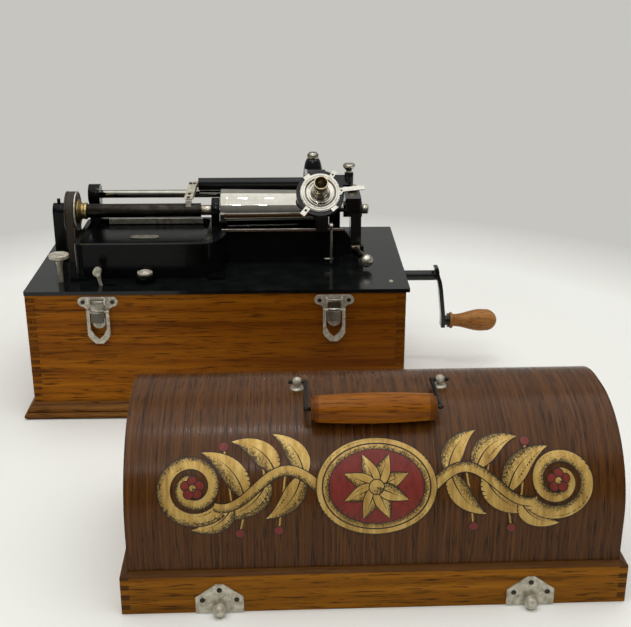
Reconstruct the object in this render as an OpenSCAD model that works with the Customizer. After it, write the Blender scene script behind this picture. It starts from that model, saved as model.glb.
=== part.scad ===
/* [Case] */
// Width of the wooden case
case_w = 402; // [380:1:440]
// Depth of the wooden case
case_d = 229; // [215:1:250]
// Height of the case boards above the floor
case_h = 140.4; // [136:0.2:160]
// Thickness of the case boards
board_t = 9.5; // [8:0.5:12]
// Number of fingers in each corner joint
finger_n = 36; // [20:1:44]
// How far the base moulding stands out
mould_out = 10.3; // [6:0.1:14]
// Height of the base moulding
mould_h = 17.9; // [14:0.1:24]
// Thickness of the bottom board
bottom_t = 6; // [4:0.5:9]
// Distance of each latch from the middle of the case
latch_x = 124.5; // [90:0.5:150]

/* [Bed plate] */
// How far the bed plate stands out at its two ends
plate_end = 2.2; // [1.8:0.1:8]
// How far the bed plate stands out at front and back
plate_edge = 1.5; // [0:0.5:8]
// Thickness of the bed plate
plate_t = 4; // [3:0.5:6]
// Offset of the bed plate to the right of the case
plate_shift = 1.75; // [0:0.25:2]

/* [Top works] */
// Height of the mandrel axis above the bed plate
axis_up = 53.1; // [50:0.1:60]
// Depth position of the mandrel axis
axis_y = 8; // [4:0.5:12]
// Length of the mandrel
mandrel_len = 116.4; // [110:0.1:120]
// Radius of the mandrel at its large left end
mandrel_r1 = 24; // [22:0.1:25]
// Radius of the mandrel at its small right end
mandrel_r2 = 22; // [20:0.1:23]
// Radius of the main shaft
shaft_r = 4; // [3:0.1:5]
// Radius of the feed screw
feed_r = 7.9; // [6.5:0.1:9]
// Length of the feed screw
feed_len = 129; // [120:0.5:132]
// Radius of the belt pulleys
pulley_r = 22.5; // [18:0.5:24]
// Radius of the back rod
rod_r = 4.7; // [4:0.1:6]
// Distance of the back rod behind the mandrel axis
rod_back = 42; // [40:0.5:48]
// Height of the back rod above the mandrel axis
rod_up = 8.5; // [6:0.5:12]

/* [Reproducer] */
// Radius of the reproducer shell
repro_r = 19.2; // [18:0.1:21]
// Upward tilt of the reproducer axis
repro_tilt = 36; // [30:1:42]
// Outer radius of the reproducer neck
neck_r = 7.8; // [7:0.1:9]
// Wall of the reproducer neck
neck_wall = 1.1; // [0.8:0.1:1.5]
// Length of the reproducer neck
neck_len = 31; // [26:0.5:36]

/* [Crank] */
// Radius of the crank shaft
crank_r = 6; // [5:0.1:7]
// Throw of the crank from shaft to grip
crank_throw = 57.5; // [45:0.5:62]
// Length of the wooden grip
grip_len = 57; // [45:0.5:65]
// Largest radius of the wooden grip
grip_r = 13.2; // [10:0.1:14.5]

/* [Lid] */
// Sideways place of the lid that stands before the case
lid_x = 141.6; // [100:0.1:160]
// Distance from the case centre forward to the lid centre
lid_front = 365.9; // [330:0.1:400]
// Depth of the lid
lid_d = 200; // [190:1:230]
// Turn of the standing lid
lid_yaw = 0.9; // [0:0.1:3]
// Height of the skirt boards
skirt_h = 33.5; // [28:0.5:40]
// Whole height of the lid
lid_h = 150.5; // [140:0.5:160]
// Inset of the dome from the outer face of the skirt
dome_inset = 6; // [4:0.5:7]
// Thickness of the bent dome
dome_t = 5; // [4:0.5:6]
// Height where the dome's curve begins
dome_spring = 75; // [60:0.5:90]
// Distance between the two handle eyes
eye_gap = 118.5; // [105:0.5:130]
// Length of the wooden handle grip
lid_grip_len = 99; // [80:0.5:100]

/* [Hidden] */
$fn = 64;
hull_fn = 32;
// Clearances: between moving neighbours, in running fits and in glued or seated joints
gap = 0.3;
run = 0.05;
seat = 0.1;
// Heights of the bed plate's top and of the mandrel axis
top_z = case_h + plate_t;
axis_z = top_z + axis_up;
rod_y = axis_y + rod_back;
rod_z = axis_z + rod_up;
in_w = case_w / 2 - board_t;
in_d = case_d / 2 - board_t;
plate_w = case_w + 2 * plate_end;
plate_d = case_d + 2 * plate_edge;
plate_screw_in = [18.2, 24];
finger_h = case_h / finger_n;
// Latch and strike sizes
latch_plate_t = 1.5;
latch_top = case_h - 2;
latch_plate_w = 42;
latch_wing_r = 5.5;
latch_neck_w = 20;
latch_neck_h = 13;
latch_tongue_w = 14;
latch_tongue_h = 35.5;
latch_lever_w = 13.5;
latch_lever_t = 2.4;
latch_lever_h = 22;
latch_pin_r = 1.4;
latch_pin_z = latch_top - 5;
latch_pin_y = -case_d / 2 - latch_plate_t - 3.2;
loop_w = 23.6;
loop_wire = 1.5;
loop_side = 3.3;
loop_t = 2.4;
loop_len = 35.6;
loop_pin_drop = 10.5;
loop_pin_z = latch_pin_z - loop_pin_drop;
loop_pin_y = latch_pin_y;
screw_head_r = 2.6;
screw_head_h = 1.2;
screw_r = 1.4;
// Places of the pieces along the mandrel axis, left to right
mandrel_x = 0.6;
mandrel_end = mandrel_x + mandrel_len;
centre_bearing_t = 9.2;
centre_bearing_x = mandrel_x - 1.3 - centre_bearing_t;
collar_len = 12;
collar_r = 9.5;
neck_collar_r = 5.8;
feed_x1 = centre_bearing_x - gap - collar_len;
feed_x0 = feed_x1 - feed_len;
left_collar_len = 3.5;
hub_len = 7;
pulley_w = 12;
pulley_x = feed_x0 - left_collar_len - hub_len - pulley_w;
end_bearing_t = 12;
end_bearing_x = pulley_x - 3 - end_bearing_t;
end_bearing_r = 9.5;
shaft_x0 = end_bearing_x + 2;
// Belt and pulley groove
belt_w = 8;
belt_t = 2;
groove_depth = 2.6;
belt_r = pulley_r - groove_depth + gap;
// Body casting
ped_x0 = feed_x0 - 3;
ped_x1 = 7.5;
ped_y0 = -75;
ped_y1 = 30;
ped_h = 38.5;
ped_wall = 5;
tray_depth = 6.5;
record_room = 5;
tray_z = top_z + ped_h - tray_depth;
beam_x1 = 138;
beam_nose = 9;
beam_y0 = -28;
ped_corner = 10;
ped_sweep = [25, beam_y0 - 2 - ped_y0];
sweep_steps = 24;
beam_z0 = top_z + 7.6;
beam_slab = 13;
rail_t = 7;
rail_top = axis_z - 13.5;
edge_t = 2.4;
edge_h = 1.8;
post_w = 13;
post_r = 8;
post_left_x = ped_x0 - 1;
post_right_x = beam_x1 - post_w;
bearing_r = 14;
foot_w = 18;
foot_toe = 3.6;
foot_out = 8;
foot_h = 3.5;
// End gate
gate_pin_x = 152;
gate_pin_y = 38;
gate_pin_r = 3;
gate_barrel_r = 7;
gate_w = 18;
gate_top = axis_z + 14.5;
gate_boss_r = 9;
gate_bar_h = 20;
gate_leg_w = 12;
gate_knob_r = 5.4;
gate_knob_len = 6;
centre_r = 3.2;
lug_h = 8;
gate_foot_z = beam_z0 + lug_h + gap;
lever_y = -12;
lever_z = beam_z0 + lug_h / 2;
lever_room = 6.3;
lug_t = 4;
lever_hub_r = 5;
lever_r = 4.2;
lever_pin_r = 2;
ball_r = 7.4;
ball_at = [163, -50, top_z + 9.8];
// Carriage
carriage_x = 106;
bush_r = rod_r + 2.4;
bush_len = 32;
sleeve_r = 11;
feed_arm_r = 7.2;
feed_arm_y = rod_y - 6;
feed_arm_z = rod_z + 12.8;
feed_arm_x0 = -27;
hump_y = rod_y - 9;
hump_top = rod_z + 43.5;
hump_r = 11.6;
cap_r = 6.6;
cap_h = 6.5;
repro_x = 112.7;
repro_rise = 4.9;
ring_t0 = 31;
ring_t1 = 38;
ring_wall = 7.6;
shell_t0 = 33;
shell_t1 = 41;
shell_wall = 1.6;
shell_lip = 1.8;
seat_r = repro_r - shell_wall - 1.2;
seat_t = shell_t0 + 1.6;
dish_floor = 38;
dish_t = 2;
clamp_t0 = ring_t1 + run;
clamp_t = 1.8;
clamp_w = 2.9;
diaphragm_t = 0.4;
weight_t = 2;
weight_r = repro_r - 4.5;
weight_hinge = repro_r - 4.5;
hinge_r = 0.9;
hinge_half = 6;
hinge_ear = 1.6;
hinge_t = shell_t0 - 2.1;
hinge_tube = 1.7;
arm_r = 6;
thumb_x = 145;
thumb_y = -8;
thumb_z = axis_z + 31.5;
thumb_boss_r = 5;
thumb_boss_h = 15;
thumb_stem_r = 2;
thumb_head_r = 6.8;
foot_x0 = 107;
foot_x1 = 121;
foot_y0 = -42;
foot_y1 = -32;
foot_z0 = axis_z - 12;
lift_x = foot_x1 + 3.2;
lift_y = -37;
lift_z = axis_z - 7;
lift_r = 1.6;
lift_len = 42;
lift_pin_r = 1.8;
nut_x0 = -37.5;
nut_w = 9.5;
nut_turn = -5.7;
nut_gap = 1;
// Controls on the bed plate
speed_room = 10.2;
speed_at = [ped_x0 - foot_toe - speed_room, -82.8];
speed_r = 2.9;
speed_head_r = 10.6;
speed_head_z = top_z + 27.5;
speed_drop = 22;
start_at = [-118, 10 - in_d];
start_slot = 21;
start_pin_z = case_h - 24;
start_pin_r = 2;
start_r = 2.4;
start_lean = -11;
start_len = 48;
start_pad_r = 4.2;
hold_at = [-77.5, -84];
hold_r = 8.2;
hold_boss_r = 10.5;
hold_boss_h = 8.5;
// Motor under the plate
drive_z = case_h - 52;
barrel_y = axis_y + 38;
barrel_z = case_h - 76.4;
crank_y = axis_y + 12;
crank_z = case_h - 27.9;
governor_y = axis_y - 30;
frame_t = 4;
frame_l = -150;
frame_m = -76;
frame_r = 26;
frame_y0 = -52;
frame_y1 = 92;
frame_z0 = 24;
pillar_r = 4;
barrel_len = 54;
barrel_r = 33;
barrel_gear_x = frame_m + frame_t + 12;
gear_t = 6;
arbor_r = 5;
drive_r = 3.5;
governor_r = 2.5;
drive_mod = 1.25;
barrel_teeth = 60;
drive_teeth = 12;
wind_mod = 2;
crank_teeth = 14;
wind_teeth = 41;
wind_x = 8;
wind_t = 8;
speed_mod = 1;
speed_teeth = 48;
governor_teeth = 12;
speed_gear_x = frame_l + 22;
weight_ball_r = 7;
weight_orbit = 17;
addendum = 0.75;
dedendum = 1.1;
spring_turns = 9;
spring_t = 0.7;
spring_steps = 24;
// Crank
crank_arm_x = case_w / 2 + 49;
crank_arm_t = 4.8;
crank_arm_w = 14;
crank_lean = 9;
crank_hub = 1.8;
ferrule_r = 8.4;
ferrule_len = 5.4;
spindle_r = 2.6;
bush_flange_r = 13;
bush_outer = 9.5;
bush_flange_t = 1.6;
// Lid
dome_x = case_w / 2 - dome_inset;
dome_y = lid_d / 2 - dome_inset;
dome_flat = 7.5;
shoulder_w = dome_y - dome_flat;
shoulder_h = lid_h - dome_spring;
lid_in_d = lid_d / 2 - board_t;
bevel_h = 2.6;
end_t = 9;
dome_steps = 28;
end_inset = 2;
dome_z = skirt_h + bevel_h;
strike_x = latch_x - 1;
strike_t = 1.4;
strike_w = 38;
strike_z0 = 0.5;
strike_h = 26;
knob_r = 5.6;
knob_len = 10;
eye_y = -6.5;
eye_r = 4;
eye_base_r = 6;
eye_z = lid_h + 6;
bail_r = 1.7;
lid_grip_r = 12.2;
lid_grip_end = 10.5;
grip_room = 0.5;
grip_rest = 62.7;
disc_t = 2.5;

// Box given by its lowest and highest corners
module box(low, high) {
    translate(low) cube(high - low);
}

// Upright box with its four upright edges rounded
module round_box(low, high, r) {
    translate([0, 0, low[2]]) linear_extrude(high[2] - low[2]) {
        translate([low[0] + r, low[1]]) square([high[0] - low[0] - 2 * r, high[1] - low[1]]);
        translate([low[0], low[1] + r]) square([high[0] - low[0], high[1] - low[1] - 2 * r]);
        for (x = [low[0] + r, high[0] - r])
            for (y = [low[1] + r, high[1] - r])
                translate([x, y]) circle(r);
    }
}

// Round bar along X from x0 to x1 at depth y and height z
module x_rod(x0, x1, y, z, r) {
    translate([x0, y, z]) rotate([0, 90, 0]) cylinder(r = r, h = x1 - x0);
}

// Turned shape along X: the profile's points are [distance along X, radius]
module x_turned(x0, y, z, profile) {
    translate([x0, y, z]) rotate([0, 90, 0]) rotate_extrude()
        polygon([for (p = profile) [p[1], p[0]]]);
}

// Flat outline in depth and height, pushed along X
module x_plate(x0, t) {
    translate([x0, 0, 0]) rotate([90, 0, 90]) linear_extrude(t) children();
}

// Gear outline with straight flanks and a tooth centred at the phase angle
module gear_outline(teeth, m, phase) {
    pitch = 360 / teeth;
    rp = teeth * m / 2;
    flank = [[-0.25, rp - dedendum * m], [-0.1, rp + addendum * m],
        [0.1, rp + addendum * m], [0.25, rp - dedendum * m]];
    polygon([for (i = [0:teeth - 1]) for (f = flank)
        f[1] * [cos(phase + pitch * (i + f[0])), sin(phase + pitch * (i + f[0]))]]);
}

// Gear on an axis along X
module x_gear(x0, t, y, z, teeth, m, phase) {
    x_plate(x0, t) translate([y, z]) gear_outline(teeth, m, phase);
}

// Direction in depth and height from one axis to another
function bearing(from, to) = atan2(to[1] - from[1], to[0] - from[0]);

// Points of an arc, from angle a0 to a1 in the given number of steps
function arc(c, r, a0, a1, steps) =
    [for (i = [0:steps]) let (a = a0 + (a1 - a0) * i / steps) c + r * [cos(a), sin(a)]];

// Notches of a corner joint, at both ends of a board, for every second finger
module finger_notches(first) {
    for (i = [first:2:finger_n - 1])
        translate([0, 0, i * finger_h - seat / 2]) children();
}

// Front or back board: keeps the odd fingers
module long_board(side) {
    color("#8a5a28") difference() {
        box([-case_w / 2, side * case_d / 2 - (side > 0 ? board_t : 0), 0],
            [case_w / 2, side * case_d / 2 + (side > 0 ? 0 : board_t), case_h]);
        finger_notches(0) for (s = [-1, 1])
            translate([s * (case_w / 2 - board_t / 2), side * (case_d / 2 - board_t / 2), 0])
                box([-board_t / 2 - seat, -board_t, 0], [board_t / 2 + seat, board_t, finger_h + seat]);
    }
}

// Left or right board: keeps the even fingers
module short_board(side) {
    color("#7d5022") difference() {
        box([side * case_w / 2 - (side > 0 ? board_t : 0), -case_d / 2, 0],
            [side * case_w / 2 + (side > 0 ? 0 : board_t), case_d / 2, case_h]);
        finger_notches(1) for (s = [-1, 1])
            translate([side * (case_w / 2 - board_t / 2), s * (case_d / 2 - board_t / 2), 0])
                box([-board_t, -board_t / 2 - seat, 0], [board_t, board_t / 2 + seat, finger_h + seat]);
        if (side > 0)
            x_rod(case_w / 2 - 2 * board_t, case_w / 2 + board_t, crank_y, crank_z, bush_outer + seat);
    }
}

module case_front() { long_board(-1); }
module case_back() { long_board(1); }
module case_left() { short_board(-1); }
module case_right() { short_board(1); }

// Section of the base moulding: a round lower band, a groove and a cove up to the case
function mould_section() = let (band = mould_h * 0.2, cove = mould_h * 0.38)
    concat([[0, 0]], arc([mould_out - band, band], band, -90, 90, 8),
        [[mould_out - band - 0.6, 2 * band], [mould_out - band - 0.6, 2 * band + 0.8]],
        arc([mould_out - band - 0.6 - cove + 1.2, 2 * band + 0.8], cove, 0, 60, 6),
        [[1.6, mould_h - 1.2], [1.6, mould_h], [0, mould_h]]);

// One side of a mitred frame round a rectangle; the section's points are [out, up]
module mitred_side(w, d, section, out, h) {
    half = w / 2 - seat / 2;
    intersection() {
        translate([-w, -d / 2, 0]) rotate([90, 0, 90]) linear_extrude(2 * w)
            polygon([for (p = section) [-p[0], p[1]]]);
        linear_extrude(h) polygon([[-half, -d / 2], [half, -d / 2],
            [half + out, -d / 2 - out], [-half - out, -d / 2 - out]]);
    }
}

// The same section along both of two facing sides
module mitred_long(w, d, section, out, h) {
    for (a = [0, 180])
        rotate(a) mitred_side(w, d, section, out, h);
}

module base_moulding() {
    color("#8f6430") {
        mitred_long(case_w, case_d, mould_section(), mould_out, mould_h);
        rotate(90) mitred_long(case_d, case_w, mould_section(), mould_out, mould_h);
    }
}

module bottom_board() {
    color("#7a4d20") box([-in_w + seat, -in_d + seat, 0], [in_w - seat, in_d - seat, bottom_t]);
}

// Both latches stand at the same distance from the middle
module at_latches() {
    for (s = [-1, 1])
        translate([s * latch_x, 0, 0]) children();
}

// Outline of a latch plate: two round wings, a neck and a tongue with a round end
module latch_outline() {
    wing = latch_plate_w / 2 - latch_wing_r;
    tongue = latch_tongue_w / 2;
    for (s = [-1, 1])
        translate([s * wing, -latch_wing_r]) circle(latch_wing_r);
    translate([-wing, -2 * latch_wing_r]) square([2 * wing, 2 * latch_wing_r]);
    translate([-latch_neck_w / 2, -latch_neck_h]) square([latch_neck_w, latch_neck_h]);
    translate([-tongue, tongue - latch_tongue_h]) square([2 * tongue, latch_tongue_h - tongue]);
    translate([0, tongue - latch_tongue_h]) circle(tongue);
}

// Latch plate with two ears for the lever's pin
module latch_plate() {
    face = -case_d / 2;
    ear_x = latch_lever_w / 2 + gap;
    ear_t = 2;
    difference() {
        union() {
            translate([0, face, latch_top]) rotate([90, 0, 0])
                linear_extrude(latch_plate_t) latch_outline();
            for (s = [-1, 1])
                translate([s * (ear_x + ear_t / 2), 0, 0])
                    box([-ear_t / 2, latch_pin_y - 2.2, latch_pin_z - 2.6],
                        [ear_t / 2, face, latch_pin_z + 2.6]);
        }
        x_rod(-latch_plate_w, latch_plate_w, latch_pin_y, latch_pin_z, latch_pin_r + run);
        for (s = latch_screws())
            translate([s[0], face, s[1]]) rotate([90, 0, 0])
                cylinder(r = screw_r + seat, h = 4 * latch_plate_t, center = true);
    }
}

// Screw places on a latch plate, across and up
function latch_screws() = let (side = latch_plate_w / 2 - latch_wing_r, high = latch_top - latch_wing_r)
    [[-side, high], [side, high], [0, latch_top - latch_tongue_h + 4]];

module latch_plates() {
    color("#b9b3a4") at_latches() latch_plate();
}

// Latch lever: a tongue on its own pin, bent out at its foot, with an eye for the loop
module latch_lever() {
    pin_len = latch_lever_w + 2 * gap + 4;
    half = latch_lever_t / 2;
    knee = 0.45 * latch_lever_h;
    out = 3.4;
    color("#c2bcab") difference() {
        union() {
            x_rod(-pin_len / 2, pin_len / 2, latch_pin_y, latch_pin_z, latch_pin_r);
            x_rod(-latch_lever_w / 2, latch_lever_w / 2, latch_pin_y, latch_pin_z, latch_lever_t / 2 + 0.6);
            translate([0, latch_pin_y, latch_pin_z]) x_plate(-latch_lever_w / 2, latch_lever_w)
                polygon([[-half, 0], [-half, -knee], [-half - out, -latch_lever_h + 0.5],
                    [half - out - 1, -latch_lever_h], [half, -knee - 1], [half, 0]]);
            x_rod(-latch_lever_w / 2, latch_lever_w / 2, loop_pin_y, loop_pin_z, loop_wire + 1);
        }
        x_rod(-latch_lever_w, latch_lever_w, loop_pin_y, loop_pin_z, loop_wire + run);
    }
}

// Latch loop: a flat stamped fork on a pin through the lever, closed at its pointed foot
module latch_loop() {
    side = loop_w / 2;
    in = side - loop_side;
    top = loop_wire + 0.3;
    color("#c8c2b2") {
        x_rod(-side, side, loop_pin_y, loop_pin_z, loop_wire);
        translate([0, loop_pin_y + loop_t / 2, loop_pin_z]) rotate([90, 0, 0]) linear_extrude(loop_t)
            difference() {
                polygon([[-side, top], [side, top], [side, -0.73 * loop_len], [0.8 * side, -0.85 * loop_len],
                    [0.34 * side, -loop_len], [-0.34 * side, -loop_len], [-0.8 * side, -0.85 * loop_len],
                    [-side, -0.73 * loop_len]]);
                polygon([[-in, 2 * top], [in, 2 * top], [in, -0.55 * loop_len], [in / 2, -0.76 * loop_len],
                    [0, -0.86 * loop_len], [-in / 2, -0.76 * loop_len], [-in, -0.55 * loop_len]]);
            }
    }
}

module latch_lever_left() { translate([-latch_x, 0, 0]) latch_lever(); }
module latch_lever_right() { translate([latch_x, 0, 0]) latch_lever(); }
module latch_loop_left() { translate([-latch_x, 0, 0]) latch_loop(); }
module latch_loop_right() { translate([latch_x, 0, 0]) latch_loop(); }

// Slotted dome head with a short shank below its seat
module screw(r, h, shank) {
    difference() {
        union() {
            cylinder(r1 = r, r2 = r * 0.75, h = h);
            translate([0, 0, -shank]) cylinder(r = screw_r, h = shank);
        }
        translate([0, 0, h]) cube([2.4 * r, 0.5, h * 0.9], center = true);
    }
}

// Places of the bed plate's screws
function plate_screws() = let (side = plate_w / 2 - plate_screw_in[0], edge = plate_d / 2 - plate_screw_in[1])
    [[plate_shift + side, -edge], [plate_shift - side * 0.6, edge]];

module screws() {
    color("#c9c4b6") {
        at_latches() for (s = latch_screws())
            translate([s[0], -case_d / 2 - latch_plate_t, s[1]]) rotate([90, 0, 0])
                screw(screw_head_r - 0.5, 0.9, latch_plate_t);
        for (p = plate_screws())
            translate([p[0], p[1], top_z]) screw(screw_head_r, screw_head_h, plate_t);
        translate([hold_at[0], hold_at[1], top_z + hold_boss_h]) hold_down();
    }
}

// Hold-down screw: a rim washer with a domed head
module hold_down() {
    dome = 0.8 * hold_r;
    rotate_extrude() polygon(concat([[0, 0], [hold_r, 0], [hold_r, 2]],
        [[hold_r - 1.8, 2.8], [hold_r - 2.6, 2]], arc([0, -0.36 * dome], dome, 45, 90, 6)));
}

module crank_bush() {
    color("#3c3a36") difference() {
        union() {
            x_rod(case_w / 2 - board_t, case_w / 2, crank_y, crank_z, bush_outer);
            x_rod(case_w / 2, case_w / 2 + bush_flange_t, crank_y, crank_z, bush_flange_r);
        }
        x_rod(case_w / 2 - 2 * board_t, case_w / 2 + board_t, crank_y, crank_z, crank_r + run);
    }
}

module bed_plate() {
    belt_room = 3;
    color("#24262a") difference() {
        round_box([plate_shift - plate_w / 2, -plate_d / 2, case_h],
            [plate_shift + plate_w / 2, plate_d / 2, top_z], 1.5);
        box([pulley_x - 1, axis_y - belt_r - belt_t - belt_room, case_h - 1],
            [pulley_x + pulley_w + 1, axis_y + belt_r + belt_t + belt_room, top_z + 1]);
        box([start_at[0] - start_slot / 2, start_at[1] - start_r - 0.6, case_h - 1],
            [start_at[0] + start_slot / 2, start_at[1] + start_r + 0.6, top_z + 1]);
        translate([speed_at[0], speed_at[1], case_h - 1]) cylinder(r = speed_r + run, h = plate_t + 2);
        for (p = plate_screws())
            translate([p[0], p[1], case_h - 1]) cylinder(r = screw_r + seat, h = plate_t + 2);
    }
}

// Bracket under the plate with the start lever's pin
module start_bracket() {
    cheek = 2.5;
    color("#4a4a48") {
        for (s = [-1, 1])
            translate([start_at[0], start_at[1] + s * (start_r + gap + cheek / 2), 0])
                box([-5, -cheek / 2, start_pin_z - 4], [5, cheek / 2, case_h]);
        translate([start_at[0], start_at[1], start_pin_z]) rotate([90, 0, 0])
            cylinder(r = start_pin_r, h = 2 * (start_r + gap) + cheek, center = true);
    }
}

module start_lever() {
    at = [start_at[0], start_at[1], start_pin_z];
    color("#cfc9b8") translate(at) rotate([0, start_lean, 0]) difference() {
        union() {
            cylinder(r = start_r - 0.5, h = start_len - 4);
            translate([0, 0, start_len - 14]) cylinder(r1 = start_r - 0.5, r2 = start_pad_r - 0.6, h = 12);
            translate([0, 0, start_len - start_pad_r]) rotate([90, 0, 0])
                cylinder(r = start_pad_r, h = 2 * start_pad_r, center = true);
            rotate([90, 0, 0]) cylinder(r = start_pin_r + 2, h = 2 * start_r, center = true);
        }
        rotate([90, 0, 0]) cylinder(r = start_pin_r + run, h = 4 * start_r, center = true);
    }
}

module speed_screw() {
    color("#c4bfb0") translate([speed_at[0], speed_at[1], 0]) {
        translate([0, 0, case_h - speed_drop]) cylinder(r = speed_r, h = speed_head_z - case_h + speed_drop);
        translate([0, 0, speed_head_z - 4]) rotate_extrude()
            polygon([[0, -4], [speed_r + 0.9, -4], [speed_r + 1, 0], [speed_head_r - 1.5, 3.2],
                [speed_head_r, 3.6], [speed_head_r, 7], [speed_head_r - 1, 7.6],
                [speed_head_r - 3, 6.8], [0, 6.2]]);
    }
}

// Post that holds an end of the back rod
module rod_post(x, z0) {
    box([x, rod_y - post_r, z0], [x + post_w, rod_y + post_r, rod_z]);
    x_rod(x, x + post_w, rod_y, rod_z, post_r + 4);
}

// Upright block with round corners, whose front right corner sweeps back to the beam
module swept_box(low, high, r, sweep) {
    translate([0, 0, low[2]]) linear_extrude(high[2] - low[2]) {
        polygon([[low[0], high[1] - r], [low[0], low[1] + r], [low[0] + r, low[1]],
            for (i = [0:sweep_steps]) let (a = 90 * i / sweep_steps)
                [high[0] - sweep[0] * (1 - sin(a)), low[1] + sweep[1] * (1 - cos(a))],
            [high[0], high[1] - r], [high[0] - r, high[1]], [low[0] + r, high[1]]]);
        for (at = [[low[0] + r, low[1] + r], [low[0] + r, high[1] - r], [high[0] - r, high[1] - r]])
            translate(at) circle(r);
    }
}

// Pedestal with its dished tray, front feet and the arm to the left rod post
module pedestal() {
    tray_r = 8;
    tray_x1 = centre_bearing_x - 3;
    inner_sweep = [ped_sweep[0] - ped_wall, ped_sweep[1] - ped_wall];
    difference() {
        swept_box([ped_x0, ped_y0, top_z], [ped_x1, ped_y1, top_z + ped_h], ped_corner, ped_sweep);
        swept_box([ped_x0 + ped_wall, ped_y0 + ped_wall, tray_z],
            [tray_x1, ped_y1 - ped_wall, top_z + 2 * ped_h], tray_r, inner_sweep);
        swept_box([ped_x0 + ped_wall, ped_y0 + ped_wall, top_z - 1],
            [ped_x1 - ped_wall, ped_y1 - ped_wall, tray_z - ped_wall], ped_wall, inner_sweep);
        x_rod(centre_bearing_x + centre_bearing_t, ped_x1 + 1, axis_y, axis_z, mandrel_r1 + record_room);
    }
    translate([hold_at[0], hold_at[1], top_z]) cylinder(r = hold_boss_r, h = hold_boss_h);
    for (x = [ped_x0 - foot_toe, ped_x1 - foot_w])
        box([x, ped_y0 - foot_out, top_z], [x + foot_w, ped_y0 + foot_out, top_z + foot_h]);
    box([post_left_x, ped_y1 - ped_wall, top_z], [post_left_x + post_w, rod_y + post_r, tray_z]);
    rod_post(post_left_x, top_z);
}

// Beam under the mandrel with its front rail, right rod post and the lugs of the gate
module beam() {
    slab_top = beam_z0 + beam_slab;
    box([ped_x1 - ped_wall, beam_y0, beam_z0], [beam_x1, rod_y + post_r, slab_top]);
    box([ped_x1 - ped_wall, beam_y0, beam_z0], [beam_x1, beam_y0 + rail_t, rail_top]);
    translate([beam_x1, beam_y0 + rail_t, 0]) rotate([90, 0, 0]) linear_extrude(rail_t)
        polygon([[-8, beam_z0], [5, beam_z0 + 2.8], [beam_nose, beam_z0 + 8],
            [beam_nose, rail_top - 12], [0, rail_top], [-8, rail_top]]);
    rod_post(post_right_x, beam_z0);
    box([beam_x1 - 1, lever_y + lever_hub_r + 1, beam_z0],
        [gate_pin_x + gate_barrel_r, gate_pin_y + gate_barrel_r, beam_z0 + lug_h]);
    translate([gate_pin_x, gate_pin_y, beam_z0]) cylinder(r = gate_pin_r, h = gate_top - beam_z0);
    for (x = [gate_pin_x - lever_room - lug_t, gate_pin_x + lever_room])
        box([x, lever_y - 3, beam_z0], [x + lug_t, lever_y + lever_hub_r + 2, beam_z0 + lug_h]);
    x_rod(gate_pin_x - lever_room - lug_t, gate_pin_x + lever_room + lug_t, lever_y, lever_z, lever_pin_r);
}

// Centre bearing of the main shaft, between the feed screw and the mandrel
module centre_bearing() {
    x1 = centre_bearing_x + centre_bearing_t;
    box([centre_bearing_x, axis_y - bearing_r, tray_z - 1], [x1, axis_y + bearing_r, axis_z]);
    x_rod(centre_bearing_x, x1, axis_y, axis_z, bearing_r);
}

module body_casting() {
    color("#17181a") difference() {
        union() {
            pedestal();
            beam();
            centre_bearing();
        }
        x_rod(centre_bearing_x - 1, centre_bearing_x + centre_bearing_t + 1, axis_y, axis_z, shaft_r + run);
        x_rod(post_left_x - 1, beam_x1 + 1, rod_y, rod_z, rod_r + seat);
    }
}

// Left end bearing: an upright bracket with a foot and a screw on its crown
module end_bearing() {
    x1 = end_bearing_x + end_bearing_t;
    foot = 5;
    reach = 21;
    neck = top_z + foot + 4;
    color("#17181a") difference() {
        union() {
            x_plate(end_bearing_x, end_bearing_t) polygon([[axis_y - reach, top_z], [axis_y + reach, top_z],
                [axis_y + reach, top_z + foot], [axis_y + end_bearing_r, neck],
                [axis_y + end_bearing_r, axis_z], [axis_y - end_bearing_r, axis_z],
                [axis_y - end_bearing_r, neck], [axis_y - reach, top_z + foot]]);
            x_rod(end_bearing_x, x1, axis_y, axis_z, end_bearing_r);
            translate([end_bearing_x + end_bearing_t / 2, axis_y, axis_z])
                cylinder(r = end_bearing_r / 5, h = end_bearing_r + 5);
        }
        x_rod(end_bearing_x - 1, x1 + 1, axis_y, axis_z, shaft_r + run);
    }
}

module back_rod() {
    color("#c9c5ba") x_rod(post_left_x, beam_x1, rod_y, rod_z, rod_r);
}

module straight_edge() {
    color("#d6d2c8") box([ped_x1 - ped_wall, beam_y0 - edge_t, rail_top - 1],
        [beam_x1, beam_y0, rail_top + edge_h]);
}

module scale_bar() {
    bar_y = ped_y1 - ped_wall;
    bar_z = top_z + ped_h;
    bar_t = 1.8;
    color("#b3ad9c")
        box([ped_x0 + 24, bar_y - bar_t, bar_z - 5.6], [centre_bearing_x - 12, bar_y, bar_z + 0.6]);
}

module name_plate() {
    plate_x = (ped_x0 + ped_x1) / 2 - 10;
    half = [16, 5.8];
    color("#9d968a") translate([plate_x, (ped_y0 + axis_y) / 2 + 7, tray_z])
        round_box([-half[0], -half[1], 0], [half[0], half[1], 0.8], half[1] - 0.3);
}

// Outline of a belt round two pulleys one above the other
module belt_outline(r) {
    for (z = [axis_z, drive_z])
        translate([axis_y, z]) circle(r);
    translate([axis_y - r, drive_z]) square([2 * r, axis_z - drive_z]);
}

module drive_belt() {
    color("#6b4a2c") x_plate(pulley_x + (pulley_w - belt_w) / 2, belt_w) difference() {
        belt_outline(belt_r + belt_t);
        belt_outline(belt_r);
    }
}

// Grooved belt pulley on an axis along X
module pulley(x0, y, z, bore) {
    lip = (pulley_w - belt_w) / 2 - gap;
    r0 = pulley_r - groove_depth;
    x_turned(x0, y, z, [[0, bore], [0, pulley_r], [lip, pulley_r], [lip, r0], [pulley_w - lip, r0],
        [pulley_w - lip, pulley_r], [pulley_w, pulley_r], [pulley_w, bore]]);
}

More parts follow.
